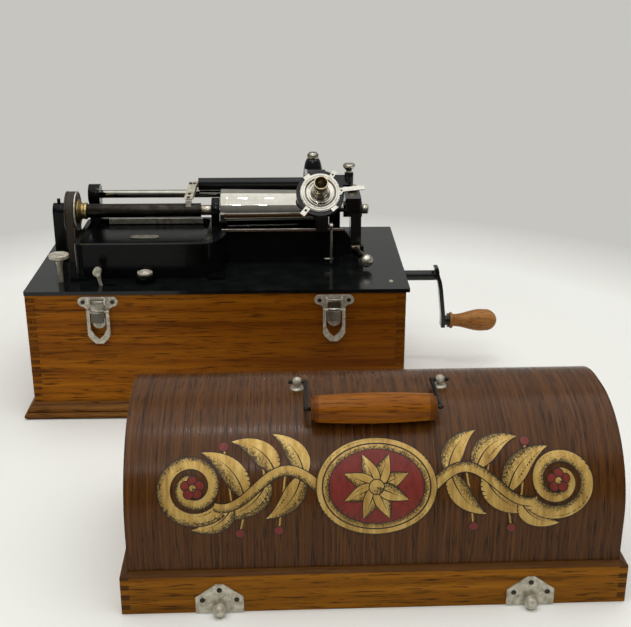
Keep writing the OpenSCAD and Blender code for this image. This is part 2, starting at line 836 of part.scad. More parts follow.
module main_shaft() {
    cup = 2.6;
    color("#a8a69e") difference() {
        x_rod(shaft_x0, mandrel_end, axis_y, axis_z, shaft_r);
        translate([mandrel_end - cup, axis_y, axis_z]) rotate([0, 90, 0])
            cylinder(r1 = 0, r2 = cup * 1.35, h = cup + 0.01);
    }
}

module mandrel() {
    edge = 0.6;
    bore = shaft_r + seat;
    color("#cfcdc6") x_turned(mandrel_x, axis_y, axis_z,
        [[0, bore], [0, mandrel_r1 - edge], [edge, mandrel_r1],
            [mandrel_len - edge, mandrel_r2], [mandrel_len, mandrel_r2 - edge], [mandrel_len, bore]]);
}

module feed_screw() {
    bore = shaft_r + seat;
    color("#3b3a37") x_turned(feed_x0, axis_y, axis_z,
        [[0, bore], [0, feed_r], [feed_len, feed_r], [feed_len, bore]]);
}

module shaft_collars() {
    bore = shaft_r + seat;
    color("#c6c1b3") {
        x_turned(feed_x0 - left_collar_len, axis_y, axis_z, [[0, bore], [0, collar_r - 0.5], [0.5, collar_r],
            [left_collar_len, collar_r], [left_collar_len, bore]]);
        x_turned(feed_x1, axis_y, axis_z, [[0, bore], [0, neck_collar_r], [collar_len, neck_collar_r],
            [collar_len, bore]]);
    }
}

module driven_pulley() {
    color("#39362f") pulley(pulley_x, axis_y, axis_z, shaft_r + seat);
}

module pulley_hub() {
    bore = shaft_r + seat;
    wide = 13.5;
    narrow = 9;
    color("#a9853f") x_turned(pulley_x + pulley_w, axis_y, axis_z, [[0, bore], [0, wide], [1.5, wide],
        [hub_len - 2, narrow], [hub_len, narrow], [hub_len, bore]]);
}

// End gate: hinge barrel, bar over the mandrel's end, bearing boss and front leg
module end_gate() {
    x0 = gate_pin_x - gate_w / 2 - 1;
    x1 = x0 + gate_w;
    bar_z = gate_top - gate_bar_h;
    color("#17181a") difference() {
        union() {
            translate([gate_pin_x, gate_pin_y, bar_z]) cylinder(r = gate_barrel_r, h = gate_bar_h);
            round_box([x0, axis_y - gate_boss_r, bar_z], [x1, gate_pin_y, gate_top], 2);
            x_rod(x0 - 2, x1 + 1, axis_y, axis_z, gate_boss_r);
            x_plate(x1 - gate_leg_w, gate_leg_w)
                polygon([[axis_y - gate_boss_r, bar_z + 2], [axis_y + 6, bar_z + 2],
                    [axis_y + 2, gate_foot_z], [axis_y - 12, gate_foot_z]]);
        }
        translate([gate_pin_x, gate_pin_y, bar_z - 1]) cylinder(r = gate_pin_r + run, h = gate_bar_h + 2);
        x_rod(x0 - 4, x1 + 4, axis_y, axis_z, centre_r + seat);
    }
}

module gate_centre() {
    x0 = mandrel_end - 2;
    tip = 4;
    head = gate_pin_x + gate_w / 2 + 0.5 - x0;
    end = head + gate_knob_len;
    color("#cbc6b8") x_turned(x0, axis_y, axis_z, [[0, 0], [tip, centre_r], [head, centre_r],
        [head, gate_knob_r], [end, gate_knob_r], [end + 1, gate_knob_r - 1], [end + 1, 0]]);
}

// Lever with a ball end that locks the gate, on a pin across the casting's lugs
module gate_lever() {
    from = [gate_pin_x, lever_y, lever_z];
    hub = lever_room - gap;
    reach = ball_at - from;
    len = norm(reach);
    color("#c9b98f") difference() {
        union() {
            x_rod(gate_pin_x - hub, gate_pin_x + hub, from[1], from[2], lever_hub_r);
            translate(from) rotate([0, acos(reach[2] / len), atan2(reach[1], reach[0])]) {
                translate([0, 0, lever_hub_r - 0.6])
                    cylinder(r1 = lever_r, r2 = lever_r - 0.6, h = len - lever_hub_r);
                translate([0, 0, len]) sphere(ball_r);
            }
        }
        x_rod(gate_pin_x - 2 * hub, gate_pin_x + 2 * hub, from[1], from[2], lever_pin_r + run);
    }
}

// Frame of the reproducer: +Z runs out along its tilted axis from the mandrel axis, +Y up in its plane
module on_repro() {
    translate([repro_x, axis_y, axis_z]) rotate([90 - repro_tilt, 0, 0])
        translate([0, repro_rise, 0]) children();
}

// Point in depth and height at distance t along the reproducer axis and u up in its plane
function repro_yz(t, u) = let (up = u + repro_rise)
    [axis_y - t * cos(repro_tilt) + up * sin(repro_tilt), axis_z + t * sin(repro_tilt) + up * cos(repro_tilt)];

module rod_bush() {
    color("#9c8a56") x_turned(carriage_x - bush_len / 2, rod_y, rod_z,
        [[0, rod_r + run], [0, bush_r], [bush_len, bush_r], [bush_len, rod_r + run]]);
}

// Ring that holds the reproducer, with the arm back to the sleeve
module carriage_ring() {
    on_repro() translate([0, 0, ring_t0]) cylinder(r = repro_r + ring_wall, h = ring_t1 - ring_t0);
    near = repro_yz((ring_t0 + ring_t1) / 2, repro_r + ring_wall - 1);
    hull() {
        x_rod(repro_x - 14, repro_x + 6, near[0], near[1], (ring_t1 - ring_t0) / 2 - gap, $fn = hull_fn);
        x_rod(carriage_x - 10, carriage_x + 10, hump_y, rod_z + 25, arm_r, $fn = hull_fn);
    }
}

// Round hump over the back rod, its foot clear of a record on the mandrel
module hump() {
    foot = 5;
    high = hump_top - rod_z - foot;
    neck = cap_r - 1;
    translate([carriage_x, hump_y, rod_z + foot]) rotate_extrude()
        polygon(concat([[0, 0], [hump_r, 0], [hump_r, high * 0.3]],
            [for (t = [15:15:90]) [neck + (hump_r - neck) * cos(t), high * (0.3 + 0.7 * sin(t))]],
            [[0, high]]));
}

// Bracket and boss of the thumb screw
module thumb_boss() {
    translate([thumb_x, thumb_y, thumb_z]) cylinder(r = thumb_boss_r, h = thumb_boss_h);
    on_repro() box([repro_r - 2, 10, ring_t0], [thumb_x - repro_x, 22, ring_t1 - 1]);
}

// Foot that rides on the straight edge
module carriage_foot() {
    rest = rail_top + edge_h + gap;
    box([foot_x0, foot_y0, foot_z0], [foot_x1, foot_y1, axis_z + 4.5]);
    box([foot_x0, foot_y1 - 1, rest], [foot_x1, beam_y0 + 3, axis_z - 4]);
    x_rod(foot_x1 - 1, lift_x + lift_r + 1.5, lift_y, lift_z, lift_pin_r);
}

module carriage() {
    half = bush_len / 2 - 0.5;
    color("#17181a") difference() {
        union() {
            x_rod(carriage_x - half, carriage_x + half, rod_y, rod_z, sleeve_r);
            x_rod(feed_arm_x0, carriage_x, feed_arm_y, feed_arm_z, feed_arm_r);
            hump();
            carriage_ring();
            thumb_boss();
            carriage_foot();
        }
        x_rod(carriage_x - bush_len, carriage_x + bush_len, rod_y, rod_z, bush_r + run);
        on_repro() translate([0, 0, ring_t0 - arm_r])
            cylinder(r = repro_r + seat, h = ring_t1 - ring_t0 + 3 * arm_r);
        translate([thumb_x, thumb_y, thumb_z - arm_r])
            cylinder(r = thumb_stem_r + run, h = 2 * thumb_boss_h + arm_r);
    }
}

module carriage_cap() {
    color("#bdb6a4") translate([carriage_x, hump_y, hump_top]) rotate_extrude()
        polygon([[0, 0], [cap_r, 0], [cap_r, cap_h - 2.5], [cap_r - 2, cap_h], [0, cap_h]]);
}

// Spring plate from the feed arm's end to the half nut on the feed screw
module feed_nut_spring() {
    nut_r = feed_r + nut_gap;
    x1 = nut_x0 + nut_w;
    nut_h = 5;
    color("#c3beb0") difference() {
        union() {
            x_rod(nut_x0, feed_arm_x0, feed_arm_y, feed_arm_z, 3.4);
            translate([nut_x0 + nut_w / 2, feed_arm_y, 0]) rotate(nut_turn)
                translate([0, -feed_arm_y, 0]) x_plate(-nut_w / 2, nut_w)
                    polygon([[feed_arm_y - 3, feed_arm_z + 3.2], [feed_arm_y + 1, feed_arm_z - 3.2],
                        [axis_y + 4, axis_z + nut_r + nut_h - 2.4], [axis_y - 2, axis_z + nut_r + nut_h]]);
            box([nut_x0 - 1.5, axis_y - 7, axis_z + 2], [x1 - 5, axis_y + 7, axis_z + nut_r + nut_h - 1]);
        }
        x_rod(nut_x0 - nut_w, x1 + nut_w, axis_y, axis_z, nut_r);
    }
}

// Reproducer shell: a rim, a dished front and a back rim that holds the diaphragm
module reproducer_shell() {
    inner = repro_r - shell_wall;
    bore = neck_r - neck_wall;
    ear_x = hinge_half + gap;
    color("#d2cdbf") on_repro() {
        rotate_extrude() polygon([[bore, dish_floor - dish_t], [seat_r, dish_floor - dish_t],
            [seat_r, seat_t], [seat_r - shell_lip, seat_t], [seat_r - shell_lip, shell_t0],
            [repro_r, shell_t0],
            [repro_r, shell_t1], [inner, shell_t1], [seat_r, dish_floor], [bore, dish_floor]]);
        x_rod(-ear_x - hinge_ear, ear_x + hinge_ear, weight_hinge, hinge_t, hinge_r);
        for (x = [-ear_x - hinge_ear, ear_x])
            box([x, weight_hinge - hinge_ear, hinge_t - hinge_ear],
                [x + hinge_ear, weight_hinge + hinge_ear, shell_t0 + shell_lip / 2]);
    }
}

module reproducer_neck() {
    bore = neck_r - neck_wall;
    mouth = dish_floor + neck_len;
    color("#b9a981") on_repro() rotate_extrude()
        polygon([[bore, dish_floor], [neck_r, dish_floor], [neck_r, mouth], [bore, mouth]]);
}

module diaphragm() {
    color("#cbbf9a") on_repro() translate([0, 0, seat_t]) cylinder(r = seat_r - seat, h = diaphragm_t);
}

// Flat tab on the clamp ring, pointing out at the given angle
module clamp_tab(angle, reach, w) {
    rotate(angle) translate([repro_r + 2, -w / 2, clamp_t0]) cube([reach, w, clamp_t]);
}

// Three-cornered plate between the clamp ring and its long tab
module gusset() {
    polygon([[repro_r - 2, 12.5], [repro_r + 6.3, 5.5], [repro_r + 6.3, 1], [repro_r - 1.5, -10]]);
}

module clamp_ring() {
    color("#d6d1c4") on_repro() difference() {
        union() {
            translate([0, 0, clamp_t0]) cylinder(r = repro_r + gap + clamp_w, h = clamp_t);
            clamp_tab(7, 28, 5);
            clamp_tab(56, 9, 5);
            clamp_tab(128, 4.5, 8);
            clamp_tab(232, 12, 6);
            clamp_tab(-50, 5, 8);
            translate([0, 0, clamp_t0]) linear_extrude(clamp_t) gusset();
        }
        translate([0, 0, clamp_t0 - 1]) cylinder(r = repro_r + gap, h = clamp_t + 2);
    }
}

// Floating weight below the diaphragm, with its stylus bar and stylus
module floating_weight() {
    t0 = shell_t0 - 4;
    bar_w = 2.4;
    bar_len = 18;
    bar_t = 0.9;
    stylus_y = -7;
    color("#8f8a7c") on_repro() difference() {
        union() {
            translate([0, 0, t0]) linear_extrude(weight_t) intersection() {
                circle(weight_r);
                translate([-weight_r, -weight_r])
                    square([2 * weight_r, weight_r + weight_hinge - hinge_ear - gap]);
            }
            translate([-hinge_half, 0, t0]) cube([2 * hinge_half, weight_hinge, weight_t]);
            x_rod(-hinge_half, hinge_half, weight_hinge, hinge_t, hinge_tube);
            translate([-bar_w / 2, -bar_len / 2, t0 - bar_t]) cube([bar_w, bar_len, 2 * bar_t]);
            translate([0, stylus_y, t0 - 2 * bar_t]) cylinder(r1 = bar_w / 6, r2 = bar_w / 2, h = 2 * bar_t);
        }
        x_rod(-2 * hinge_half, 2 * hinge_half, weight_hinge, hinge_t, hinge_r + run);
    }
}

module thumb_screw() {
    color("#c7c1b2") translate([thumb_x, thumb_y, 0]) {
        translate([0, 0, thumb_z - 3]) cylinder(r = thumb_stem_r, h = thumb_boss_h + 6);
        translate([0, 0, thumb_z + thumb_boss_h + gap]) rotate_extrude()
            polygon([[0, 0], [thumb_stem_r + 1.2, 0], [thumb_stem_r + 1, 2],
                [thumb_head_r - 0.6, 5.5], [thumb_head_r, 6.4], [thumb_head_r, 8],
            [thumb_head_r - 1, 9.6], [0, 10.2]]);
    }
}

// Lift lever: an eye on its pin, a straight rod and a cross bar at the foot
module lift_lever() {
    eye = lift_pin_r + 1.8;
    color("#cbc6b9") difference() {
        union() {
            x_rod(lift_x - lift_r, lift_x + lift_r, lift_y, lift_z, eye);
            translate([lift_x, lift_y, lift_z - lift_len]) cylinder(r = lift_r, h = lift_len - 1);
            x_rod(lift_x - 7, lift_x + lift_r, lift_y, lift_z - lift_len + 4, lift_r * 0.8);
            translate([lift_x, lift_y, lift_z - lift_len]) sphere(lift_r);
        }
        x_rod(lift_x - 5, lift_x + 5, lift_y, lift_z, lift_pin_r + run);
    }
}

// Crank shaft with its winding pinion
module crank_shaft() {
    color("#1d1d1e") {
        x_rod(wind_x - 2, crank_arm_x - crank_hub, crank_y, crank_z, crank_r);
        x_gear(wind_x, wind_t, crank_y, crank_z, crank_teeth, wind_mod,
            bearing([crank_y, crank_z], [barrel_y, barrel_z]));
    }
}

// Inner edge of the crank arm, from its top to its foot: out from the shaft's end and up
function crank_edge() = let (low = crank_z - crank_throw)
    [[-1.5, crank_z + 10.5], [-0.6, crank_z + 5], [0.6, crank_z], [2.7, crank_z - 0.1 * crank_throw],
        [4.6, crank_z - 0.27 * crank_throw], [6.2, low + 0.5 * crank_throw], [7.6, low + 0.3 * crank_throw],
        [crank_lean - 0.4, low + 0.15 * crank_throw], [crank_lean, low], [crank_lean, low - 7]];

// Crank arm: a flat bar that curves out from the shaft down to the grip's spindle and its ferrule
module crank_arm() {
    low = crank_z - crank_throw;
    edge = crank_edge();
    n = len(edge) - 1;
    foot_x = crank_arm_x + crank_lean + crank_arm_t;
    color("#1d1d1e") {
        translate([crank_arm_x, crank_y + crank_arm_w / 2, 0]) rotate([90, 0, 0])
            linear_extrude(crank_arm_w)
                polygon(concat(edge, [for (i = [0:n]) edge[n - i] + [crank_arm_t, 0]]));
        x_rod(crank_arm_x - crank_hub, crank_arm_x + crank_arm_t, crank_y, crank_z, crank_r);
        x_rod(foot_x - crank_arm_t, foot_x + ferrule_len + grip_len - 8, crank_y, low, spindle_r);
        x_rod(foot_x - 1, foot_x + ferrule_len, crank_y, low, crank_r);
        x_rod(foot_x + ferrule_len / 2, foot_x + ferrule_len, crank_y, low, ferrule_r);
    }
}

module crank_grip() {
    x0 = crank_arm_x + crank_lean + crank_arm_t + ferrule_len + gap;
    bulb = 0.745 * grip_len;
    bore = spindle_r + run;
    flange = 9.8;
    neck = 7.3;
    color("#a8713a") x_turned(x0, crank_y, crank_z - crank_throw,
        concat([[0, bore], [0, flange - 0.8], [1, flange], [3, flange - 0.2]],
            [for (i = [0:10]) let (f = i / 10)
                [4.5 + f * (bulb - 9), neck + (grip_r - neck) * (1 - cos(180 * f)) / 2]],
            [for (a = [75:-15:0]) [bulb + (grip_len - bulb) * cos(a), grip_r * sin(a)]],
            [[grip_len - 5, 0], [grip_len - 5, bore]]));
}

// Winding gear and the arbor that the spring barrel turns on
module winding_gear() {
    color("#8c8069") {
        x_rod(frame_m + 0.5, frame_r + frame_t - 0.5, barrel_y, barrel_z, arbor_r);
        x_gear(wind_x, wind_t, barrel_y, barrel_z, wind_teeth, wind_mod,
            bearing([barrel_y, barrel_z], [crank_y, crank_z]) + 180 / wind_teeth);
    }
}

// Spring barrel: a drum with an end wall each side and a gear on its left end
module spring_barrel() {
    wall = 2;
    x1 = barrel_gear_x + gear_t;
    color("#77715f") difference() {
        union() {
            x_gear(barrel_gear_x, gear_t, barrel_y, barrel_z, barrel_teeth, drive_mod,
                bearing([barrel_y, barrel_z], [axis_y, drive_z]));
            x_rod(x1 - 1, x1 + barrel_len, barrel_y, barrel_z, barrel_r);
        }
        x_rod(x1 + wall, x1 + barrel_len - wall, barrel_y, barrel_z, barrel_r - wall);
        x_rod(barrel_gear_x - 1, x1 + barrel_len + 1, barrel_y, barrel_z, arbor_r + run);
    }
}

// Mainspring: a flat strip wound in a spiral from the arbor out to the drum
module mainspring() {
    r0 = arbor_r + 2.5;
    r1 = barrel_r - 3.5;
    steps = spring_turns * spring_steps;
    edge = [for (side = [0, 1]) [for (i = [0:steps]) let (f = i / steps, a = 360 * spring_turns * f,
        r = r0 + (r1 - r0) * f + side * spring_t) [r * cos(a), r * sin(a)]]];
    back = [for (i = [0:steps]) edge[1][steps - i]];
    color("#5d6268") x_plate(barrel_gear_x + gear_t + 4, barrel_len - 8) translate([barrel_y, barrel_z])
        polygon(concat(edge[0], back));
}

// Drive arbor: pinion at the barrel, gear at the governor, pulley outside the frame
module drive_arbor() {
    color("#8c8069") {
        x_rod(pulley_x - 2, barrel_gear_x + gear_t + 2, axis_y, drive_z, drive_r);
        x_gear(barrel_gear_x - 1, gear_t + 2, axis_y, drive_z, drive_teeth, drive_mod,
            bearing([axis_y, drive_z], [barrel_y, barrel_z]) + 180 / drive_teeth);
        x_gear(speed_gear_x, gear_t, axis_y, drive_z, speed_teeth, speed_mod,
            bearing([axis_y, drive_z], [governor_y, drive_z]));
        pulley(pulley_x, axis_y, drive_z, drive_r - 0.5);
    }
}

// Governor: spindle with pinion, friction disc and three weights on their springs
module governor() {
    x_mid = (speed_gear_x + gear_t + frame_m) / 2;
    color("#8c8069") {
        x_rod(frame_l + 0.5, frame_m + frame_t - 0.5, governor_y, drive_z, governor_r);
        x_gear(speed_gear_x - 1, gear_t + 2, governor_y, drive_z, governor_teeth, speed_mod,
            bearing([governor_y, drive_z], [axis_y, drive_z]) + 180 / governor_teeth);
        for (x = [x_mid - 14, x_mid + 11])
            x_rod(x, x + 3, governor_y, drive_z, weight_orbit);
        for (a = [0, 120, 240])
            translate([x_mid, governor_y, drive_z]) rotate([a, 0, 0]) {
                translate([0, weight_orbit - 3, 0]) sphere(weight_ball_r);
                translate([-14, weight_orbit - 4, -2]) cube([27, 0.8, 4]);
            }
    }
}

// Holes of the arbors through the frame plates
module arbor_holes() {
    x0 = frame_l - 1;
    x_rod(x0, frame_m + frame_t + 1, axis_y, drive_z, drive_r + run);
    x_rod(x0, frame_m + frame_t + 1, governor_y, drive_z, governor_r + run);
    x_rod(frame_m - 1, frame_r + frame_t + 1, barrel_y, barrel_z, arbor_r + run);
    x_rod(frame_r - 1, frame_r + frame_t + 1, crank_y, crank_z, crank_r + run);
}

module motor_frame() {
    color("#55524a") {
        difference() {
            for (x = [frame_l, frame_m, frame_r])
                box([x, frame_y0, frame_z0], [x + frame_t, frame_y1, case_h]);
            arbor_holes();
        }
        for (y = [frame_y0 + 1.5 * pillar_r, frame_y1 - 1.5 * pillar_r])
            for (z = [frame_z0 + 1.5 * pillar_r, case_h - 2 * pillar_r])
                x_rod(frame_l + frame_t / 2, frame_r + frame_t / 2, y, z, pillar_r);
    }
}

// Place of the lid that stands before the case
module on_lid() {
    translate([lid_x, -lid_front, 0]) rotate(lid_yaw) children();
}

// Point of the dome's curved shoulder at an angle up from its spring line, drawn in by the given amount
function shoulder_at(angle, inset) =
    [dome_flat + (shoulder_w - inset) * cos(angle), dome_spring + (shoulder_h - inset) * sin(angle)];

// Half outline of the dome in depth and height, drawn in by the given amount, from its foot up
function dome_half(inset) = concat([[dome_y - inset, dome_z]],
    [for (i = [0:dome_steps]) shoulder_at(90 * i / dome_steps, inset)]);

// Middle of the grip at rest on the front shoulder, in depth and height
function grip_at() = let (way = [cos(grip_rest) / shoulder_w, sin(grip_rest) / shoulder_h],
    out = shoulder_at(grip_rest, 0) + way / norm(way) * (lid_grip_r + grip_room)) [-out[0], out[1]];

// Whole outline from the right foot over the top to the left foot
function dome_line(inset) = let (half = dome_half(inset), n = len(half) - 1)
    concat(half, [for (i = [0:n]) [-half[n - i][0], half[n - i][1]]]);

module lid_dome() {
    inner = dome_line(dome_t);
    n = len(inner) - 1;
    color("#4a2b1b") on_lid() x_plate(-dome_x, 2 * dome_x)
        polygon(concat(dome_line(0), [for (i = [0:n]) inner[n - i]]));
}

module lid_ends() {
    color("#54331f") on_lid() for (x = [-dome_x + end_inset, dome_x - end_inset - end_t])
        x_plate(x, end_t) polygon(dome_line(dome_t + seat));
}

// Section of the skirt: a board with a bevelled top
function skirt_section() = [[0, 0], [board_t, 0], [board_t, skirt_h],
    [board_t - dome_inset + 0.8, dome_z], [0, dome_z]];

module lid_skirt_long() {
    color("#6f4522") on_lid() mitred_long(2 * in_w, 2 * lid_in_d, skirt_section(), board_t, dome_z);
}

module lid_skirt_short() {
    color("#6f4522") on_lid() rotate(90)
        mitred_long(2 * lid_in_d, 2 * in_w, skirt_section(), board_t, dome_z);
}

// Strike plate for a latch loop: a gabled plate with a round knob at its foot
module strike() {
    face = -lid_d / 2;
    shoulder = strike_z0 + strike_h * 0.55;
    crown = strike_w * 0.075;
    translate([0, face, 0]) rotate([90, 0, 0]) linear_extrude(strike_t)
        polygon([[-strike_w / 2, strike_z0], [strike_w / 2, strike_z0], [strike_w / 2, shoulder],
            [crown, strike_z0 + strike_h], [-crown, strike_z0 + strike_h], [-strike_w / 2, shoulder]]);
    translate([0, face - strike_t, strike_z0 + knob_r]) rotate([90, 0, 0]) rotate_extrude()
        polygon(concat([[0, 0], [knob_r * 0.6, 0], [knob_r * 0.6, knob_len * 0.3], [knob_r, knob_len * 0.4]],
            [for (t = [15:15:90]) [knob_r * cos(t), knob_len * (0.5 + 0.5 * sin(t))]]));
}

// Handle eye: a turned foot with a ball that the bail's end passes through
module handle_eye() {
    difference() {
        union() {
            translate([0, 0, lid_h]) rotate_extrude()
                polygon([[0, 0], [eye_base_r, 0], [eye_base_r - 0.8, 1.2], [2.2, 2.2], [2.2, 5], [0, 5]]);
            translate([0, 0, eye_z]) sphere(eye_r);
        }
        x_rod(-2 * eye_r, 2 * eye_r, 0, eye_z, bail_r + run);
    }
}

module lid_fittings() {
    color("#b7b0a0") on_lid() {
        for (s = [-1, 1]) {
            translate([s * strike_x, 0, 0]) strike();
            translate([s * eye_gap / 2, eye_y, 0]) handle_eye();
        }
    }
}

// Frame of the bail: +Y runs from the eyes to the grip
module on_bail() {
    way = grip_at() - [eye_y, eye_z];
    on_lid() translate([0, eye_y, eye_z]) rotate([atan2(way[1], way[0]), 0, 0]) children();
}

// Round wire between two points
module wire(from, to, r) {
    way = to - from;
    len = norm(way);
    translate(from) rotate([0, acos(way[2] / len), atan2(way[1], way[0])]) cylinder(r = r, h = len);
}

module lid_bail() {
    end = eye_gap / 2;
    bail_arm = norm(grip_at() - [eye_y, eye_z]);
    bend = lid_grip_len / 2 + 4;
    tail = 7;
    elbow = bail_r + 0.2;
    color("#8f8a80") on_bail() {
        for (s = [-1, 1]) {
            x_rod(s * end - tail, s * end + tail, 0, 0, bail_r);
            translate([s * (end - tail), 0, 0]) sphere(elbow);
            wire([s * (end - tail), 0, 0], [s * bend, bail_arm, 0], bail_r);
            translate([s * bend, bail_arm, 0]) sphere(elbow);
        }
        x_rod(-bend, bend, bail_arm, 0, bail_r);
    }
}

// Turned grip with a flat disc on each end
module lid_grip() {
    half = lid_grip_len / 2;
    bail_arm = norm(grip_at() - [eye_y, eye_z]);
    bore = bail_r + run;
    disc = lid_grip_end - 2;
    swell = lid_grip_r - lid_grip_end;
    steps = 12;
    color("#8a4f22") on_bail() x_turned(-half, bail_arm, 0, concat([[0, bore], [0, disc], [disc_t, disc]],
        [for (i = [0:steps]) let (f = i / steps)
            [disc_t + f * (lid_grip_len - 2 * disc_t), lid_grip_end + swell * sin(180 * f)]],
        [[lid_grip_len - disc_t, disc], [lid_grip_len, disc], [lid_grip_len, bore]]));
}

case_front();
case_back();
case_left();
case_right();
base_moulding();
bottom_board();
latch_plates();
latch_lever_left();
latch_lever_right();
latch_loop_left();
latch_loop_right();
screws();
crank_bush();
bed_plate();
start_bracket();
body_casting();
end_bearing();
back_rod();
straight_edge();
scale_bar();
name_plate();
drive_belt();
motor_frame();
speed_screw();
start_lever();
main_shaft();
mandrel();
feed_screw();
shaft_collars();
driven_pulley();
pulley_hub();
rod_bush();
carriage();
carriage_cap();
feed_nut_spring();
reproducer_shell();
reproducer_neck();
diaphragm();
clamp_ring();
floating_weight();
thumb_screw();
lift_lever();
end_gate();
gate_centre();
gate_lever();
crank_shaft();
crank_arm();
crank_grip();
winding_gear();
spring_barrel();
mainspring();
drive_arbor();
governor();
lid_dome();
lid_ends();
lid_skirt_long();
lid_skirt_short();
lid_fittings();
lid_bail();
lid_grip();
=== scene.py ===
import bisect
import math

import bmesh
import bpy
from mathutils import Matrix, Vector


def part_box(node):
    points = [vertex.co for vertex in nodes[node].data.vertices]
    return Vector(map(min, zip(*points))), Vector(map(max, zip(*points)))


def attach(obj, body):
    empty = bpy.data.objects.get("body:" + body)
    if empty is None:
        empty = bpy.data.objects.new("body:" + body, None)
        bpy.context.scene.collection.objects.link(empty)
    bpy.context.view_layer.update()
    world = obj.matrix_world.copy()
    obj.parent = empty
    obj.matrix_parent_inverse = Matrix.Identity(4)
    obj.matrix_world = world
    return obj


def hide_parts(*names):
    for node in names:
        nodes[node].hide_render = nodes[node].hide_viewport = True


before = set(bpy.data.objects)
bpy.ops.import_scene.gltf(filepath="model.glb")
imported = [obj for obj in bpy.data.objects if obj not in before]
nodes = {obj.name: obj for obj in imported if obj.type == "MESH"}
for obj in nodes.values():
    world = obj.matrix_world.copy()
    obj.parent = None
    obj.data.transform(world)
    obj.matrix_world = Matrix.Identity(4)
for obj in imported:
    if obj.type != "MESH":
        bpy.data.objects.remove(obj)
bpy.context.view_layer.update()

MM = 0.001

# Photograph's frame and the camera fitted to it
PHOTO_WIDTH = 631
FOCAL_PIXELS = 1072.1
SENSOR_WIDTH = 36
CAMERA_PLACE = Vector((76.03, -1178.07, 526.01)) * MM
CAMERA_PITCH = 21.03
CAMERA_YAW = 1.55


def low(node):
    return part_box(node)[0]


def high(node):
    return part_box(node)[1]


def middle(node):
    return (Vector(low(node)) + Vector(high(node))) / 2


# Node materials

class Finish:
    """One material built round a Principled shader, with short calls for its nodes."""

    def __init__(self, name, **sockets):
        self.material = bpy.data.materials.new(name)
        self.material.use_nodes = True
        self.tree = self.material.node_tree
        self.shader = self.tree.nodes["Principled BSDF"]
        self.set(**sockets)

    def set(self, **sockets):
        for name, value in sockets.items():
            socket = self.shader.inputs[name.replace("_", " ").title().replace("Ior", "IOR")]
            if isinstance(value, bpy.types.NodeSocket):
                self.tree.links.new(value, socket)
            else:
                socket.default_value = value

    def add(self, kind, inputs=None, **settings):
        node = self.tree.nodes.new(kind)
        for name, value in settings.items():
            setattr(node, name, value)
        for name, value in (inputs or {}).items():
            if isinstance(value, bpy.types.NodeSocket):
                self.tree.links.new(value, node.inputs[name])
            else:
                node.inputs[name].default_value = value
        return node

    def place(self, scale=(1, 1, 1), kind="Object"):
        coords = self.add("ShaderNodeTexCoord").outputs[kind]
        return self.add("ShaderNodeMapping", {"Vector": coords, "Scale": scale}).outputs["Vector"]

    def calc(self, operation, *values):
        return self.add("ShaderNodeMath", dict(enumerate(values)), operation=operation).outputs[0]

    def part(self, vector, axis):
        """One coordinate of a vector."""
        return self.add("ShaderNodeSeparateXYZ", {"Vector": vector}).outputs[axis]

    def normal(self, axis):
        return self.part(self.add("ShaderNodeTexCoord").outputs["Normal"], axis)

    def noise(self, vector, scale=1.0, detail=4.0, roughness=0.5, distortion=0.0):
        inputs = {"Vector": vector, "Scale": scale, "Detail": detail, "Roughness": roughness,
                  "Distortion": distortion}
        return self.add("ShaderNodeTexNoise", inputs).outputs["Fac"]

    def ramp(self, value, *stops):
        """Colour by value; each stop is (place, colour)."""
        node = self.add("ShaderNodeValToRGB", {"Fac": value})
        node.color_ramp.elements.remove(node.color_ramp.elements[0])
        for i, (place, colour) in enumerate(stops):
            element = node.color_ramp.elements[0] if i == 0 else node.color_ramp.elements.new(place)
            element.position = place
            element.color = (*colour, 1)
        return node.outputs["Color"]

    def range(self, value, from_low, from_high, to_low, to_high):
        return self.add("ShaderNodeMapRange", {"Value": value, "From Min": from_low, "From Max": from_high,
                                               "To Min": to_low, "To Max": to_high}).outputs["Result"]

    def blend(self, share, first, second, how="MIX"):
        node = self.add("ShaderNodeMix", data_type="RGBA", blend_type=how)
        for i, value in ((0, share), (6, first), (7, second)):
            if isinstance(value, bpy.types.NodeSocket):
                self.tree.links.new(value, node.inputs[i])
            else:
                node.inputs[i].default_value = value if i == 0 else (*value, 1)
        return node.outputs[2]

    def bump(self, height, distance, strength=1.0):
        node = self.add("ShaderNodeBump", {"Height": height, "Distance": distance, "Strength": strength})
        self.tree.links.new(node.outputs["Normal"], self.shader.inputs["Normal"])


def srgb(red, green, blue):
    """Linear colour from 0 to 255 screen values."""
    def linear(v):
        v = v / 255
        return v / 12.92 if v <= 0.04045 else ((v + 0.055) / 1.055) ** 2.4
    return tuple(linear(v) for v in (red, green, blue))


def stretch(grain, along, across):
    """Texture scale that draws a pattern out along the named axes."""
    return tuple(along if axis in grain else across for axis in "xyz")


